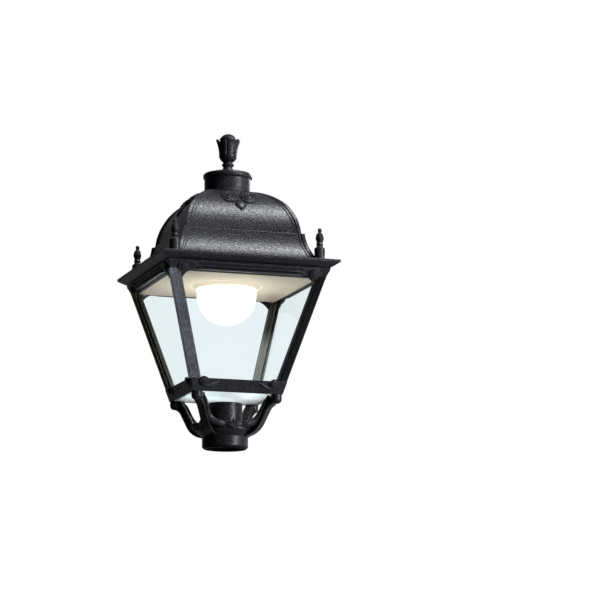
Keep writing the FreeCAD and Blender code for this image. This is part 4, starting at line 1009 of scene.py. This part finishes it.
    def lamp(self, context, name, power, size, spot, aim):
        """A soft square lamp at a spot, turned to its aim."""
        light = bpy.data.lights.new(name, "AREA")
        light.energy = power
        light.size = size
        light.color = LAMP_TINT
        lamp = bpy.data.objects.new(name, light)
        lamp.location = spot
        lamp.rotation_mode = "QUATERNION"
        lamp.rotation_quaternion = (Vector(aim) - Vector(spot)).to_track_quat("-Z", "Y")
        context.scene.collection.objects.link(lamp)
        return lamp

    def accent(self, context, setup):
        """Soft lamps at the left, one for each of two corner posts alone."""
        for name, share in POST_SHARES:
            lamp = self.lamp(context, name + "_lamp", setup.accent * share, *POST_LAMP)
            self.link(lamp, name, "INCLUDE")

    def link(self, lamp, name, state):
        """Lets a lamp fall on one node alone, or on all but that node."""
        linked = bpy.data.collections.new(lamp.name + "_nodes")
        linked.objects.link(NODES[name])
        linked.collection_objects[0].light_linking.link_state = state
        lamp.light_linking.receiver_collection = linked

    def bounce(self, context, setup):
        """Warm light that rises in the lamp chamber to the reflector; the lamp itself is not seen."""
        lamp = self.lamp(context, "bounce_lamp", setup.bounce, *CHAMBER_LAMP)
        lamp.data.color = context.scene.lantern_lamp.warmth
        lamp.visible_camera = False
        lamp.visible_glossy = False
        lamp.visible_transmission = False

    def camera(self, context, setup):
        """A long lens below the lantern, a little to its left."""
        lens = bpy.data.cameras.new("camera")
        lens.lens = setup.lens
        lens.sensor_width = 36.0
        lens.clip_end = 100.0
        camera = bpy.data.objects.new("camera", lens)
        back = Vector((-math.sin(setup.azimuth) * math.cos(setup.elevation),
                       -math.cos(setup.azimuth) * math.cos(setup.elevation), math.sin(setup.elevation)))
        aim = Vector((0.0, 0.0, setup.aim))
        facing = (-back).to_track_quat("-Z", "Y").to_matrix().to_4x4()
        turn = Matrix.Rotation(-setup.yaw, 4, "Y") @ Matrix.Rotation(-setup.pitch, 4, "X")
        camera.matrix_world = (Matrix.Translation(aim + back * setup.distance) @ facing @ turn
                               @ Matrix.Rotation(setup.roll, 4, "Z"))
        context.scene.collection.objects.link(camera)
        context.scene.camera = camera


class LANTERN_PT_panel(bpy.types.Panel):
    """Lists the steps that dress the lantern."""

    bl_idname = "LANTERN_PT_panel"
    bl_label = "Post Lantern"
    bl_space_type = "VIEW_3D"
    bl_region_type = "UI"
    bl_category = "Lantern"

    def draw(self, context):
        for step in STEPS:
            self.layout.operator(step.bl_idname)
        for look in LOOKS:
            group = getattr(context.scene, look)
            box = self.layout.box()
            for name in group.bl_rna.properties.keys():
                if name not in ("rna_type", "name"):
                    box.prop(group, name)


LOOKS = {"lantern_paint": PaintLook, "lantern_glass": GlassLook, "lantern_lamp": LampLook,
         "lantern_ornament": OrnamentLook, "lantern_stage": StageSetup}
STEPS = (LANTERN_OT_castings, LANTERN_OT_glazing, LANTERN_OT_lamp, LANTERN_OT_roses, LANTERN_OT_scrolls,
         LANTERN_OT_beads, LANTERN_OT_palmettes, LANTERN_OT_lips, LANTERN_OT_stage)


def register():
    for item in (*LOOKS.values(), *STEPS, LANTERN_PT_panel):
        bpy.utils.register_class(item)
    for name, look in LOOKS.items():
        setattr(bpy.types.Scene, name, bpy.props.PointerProperty(type=look))


def unregister():
    for name in LOOKS:
        delattr(bpy.types.Scene, name)
    for item in reversed((*LOOKS.values(), *STEPS, LANTERN_PT_panel)):
        bpy.utils.unregister_class(item)


def main():
    register()
    bpy.ops.lantern.castings()
    bpy.ops.lantern.glazing()
    bpy.ops.lantern.lamp()
    bpy.ops.lantern.roses()
    bpy.ops.lantern.scrolls()
    bpy.ops.lantern.beads()
    bpy.ops.lantern.palmettes()
    bpy.ops.lantern.lips()
    bpy.ops.lantern.stage()


if __name__ == "__main__":
    main()
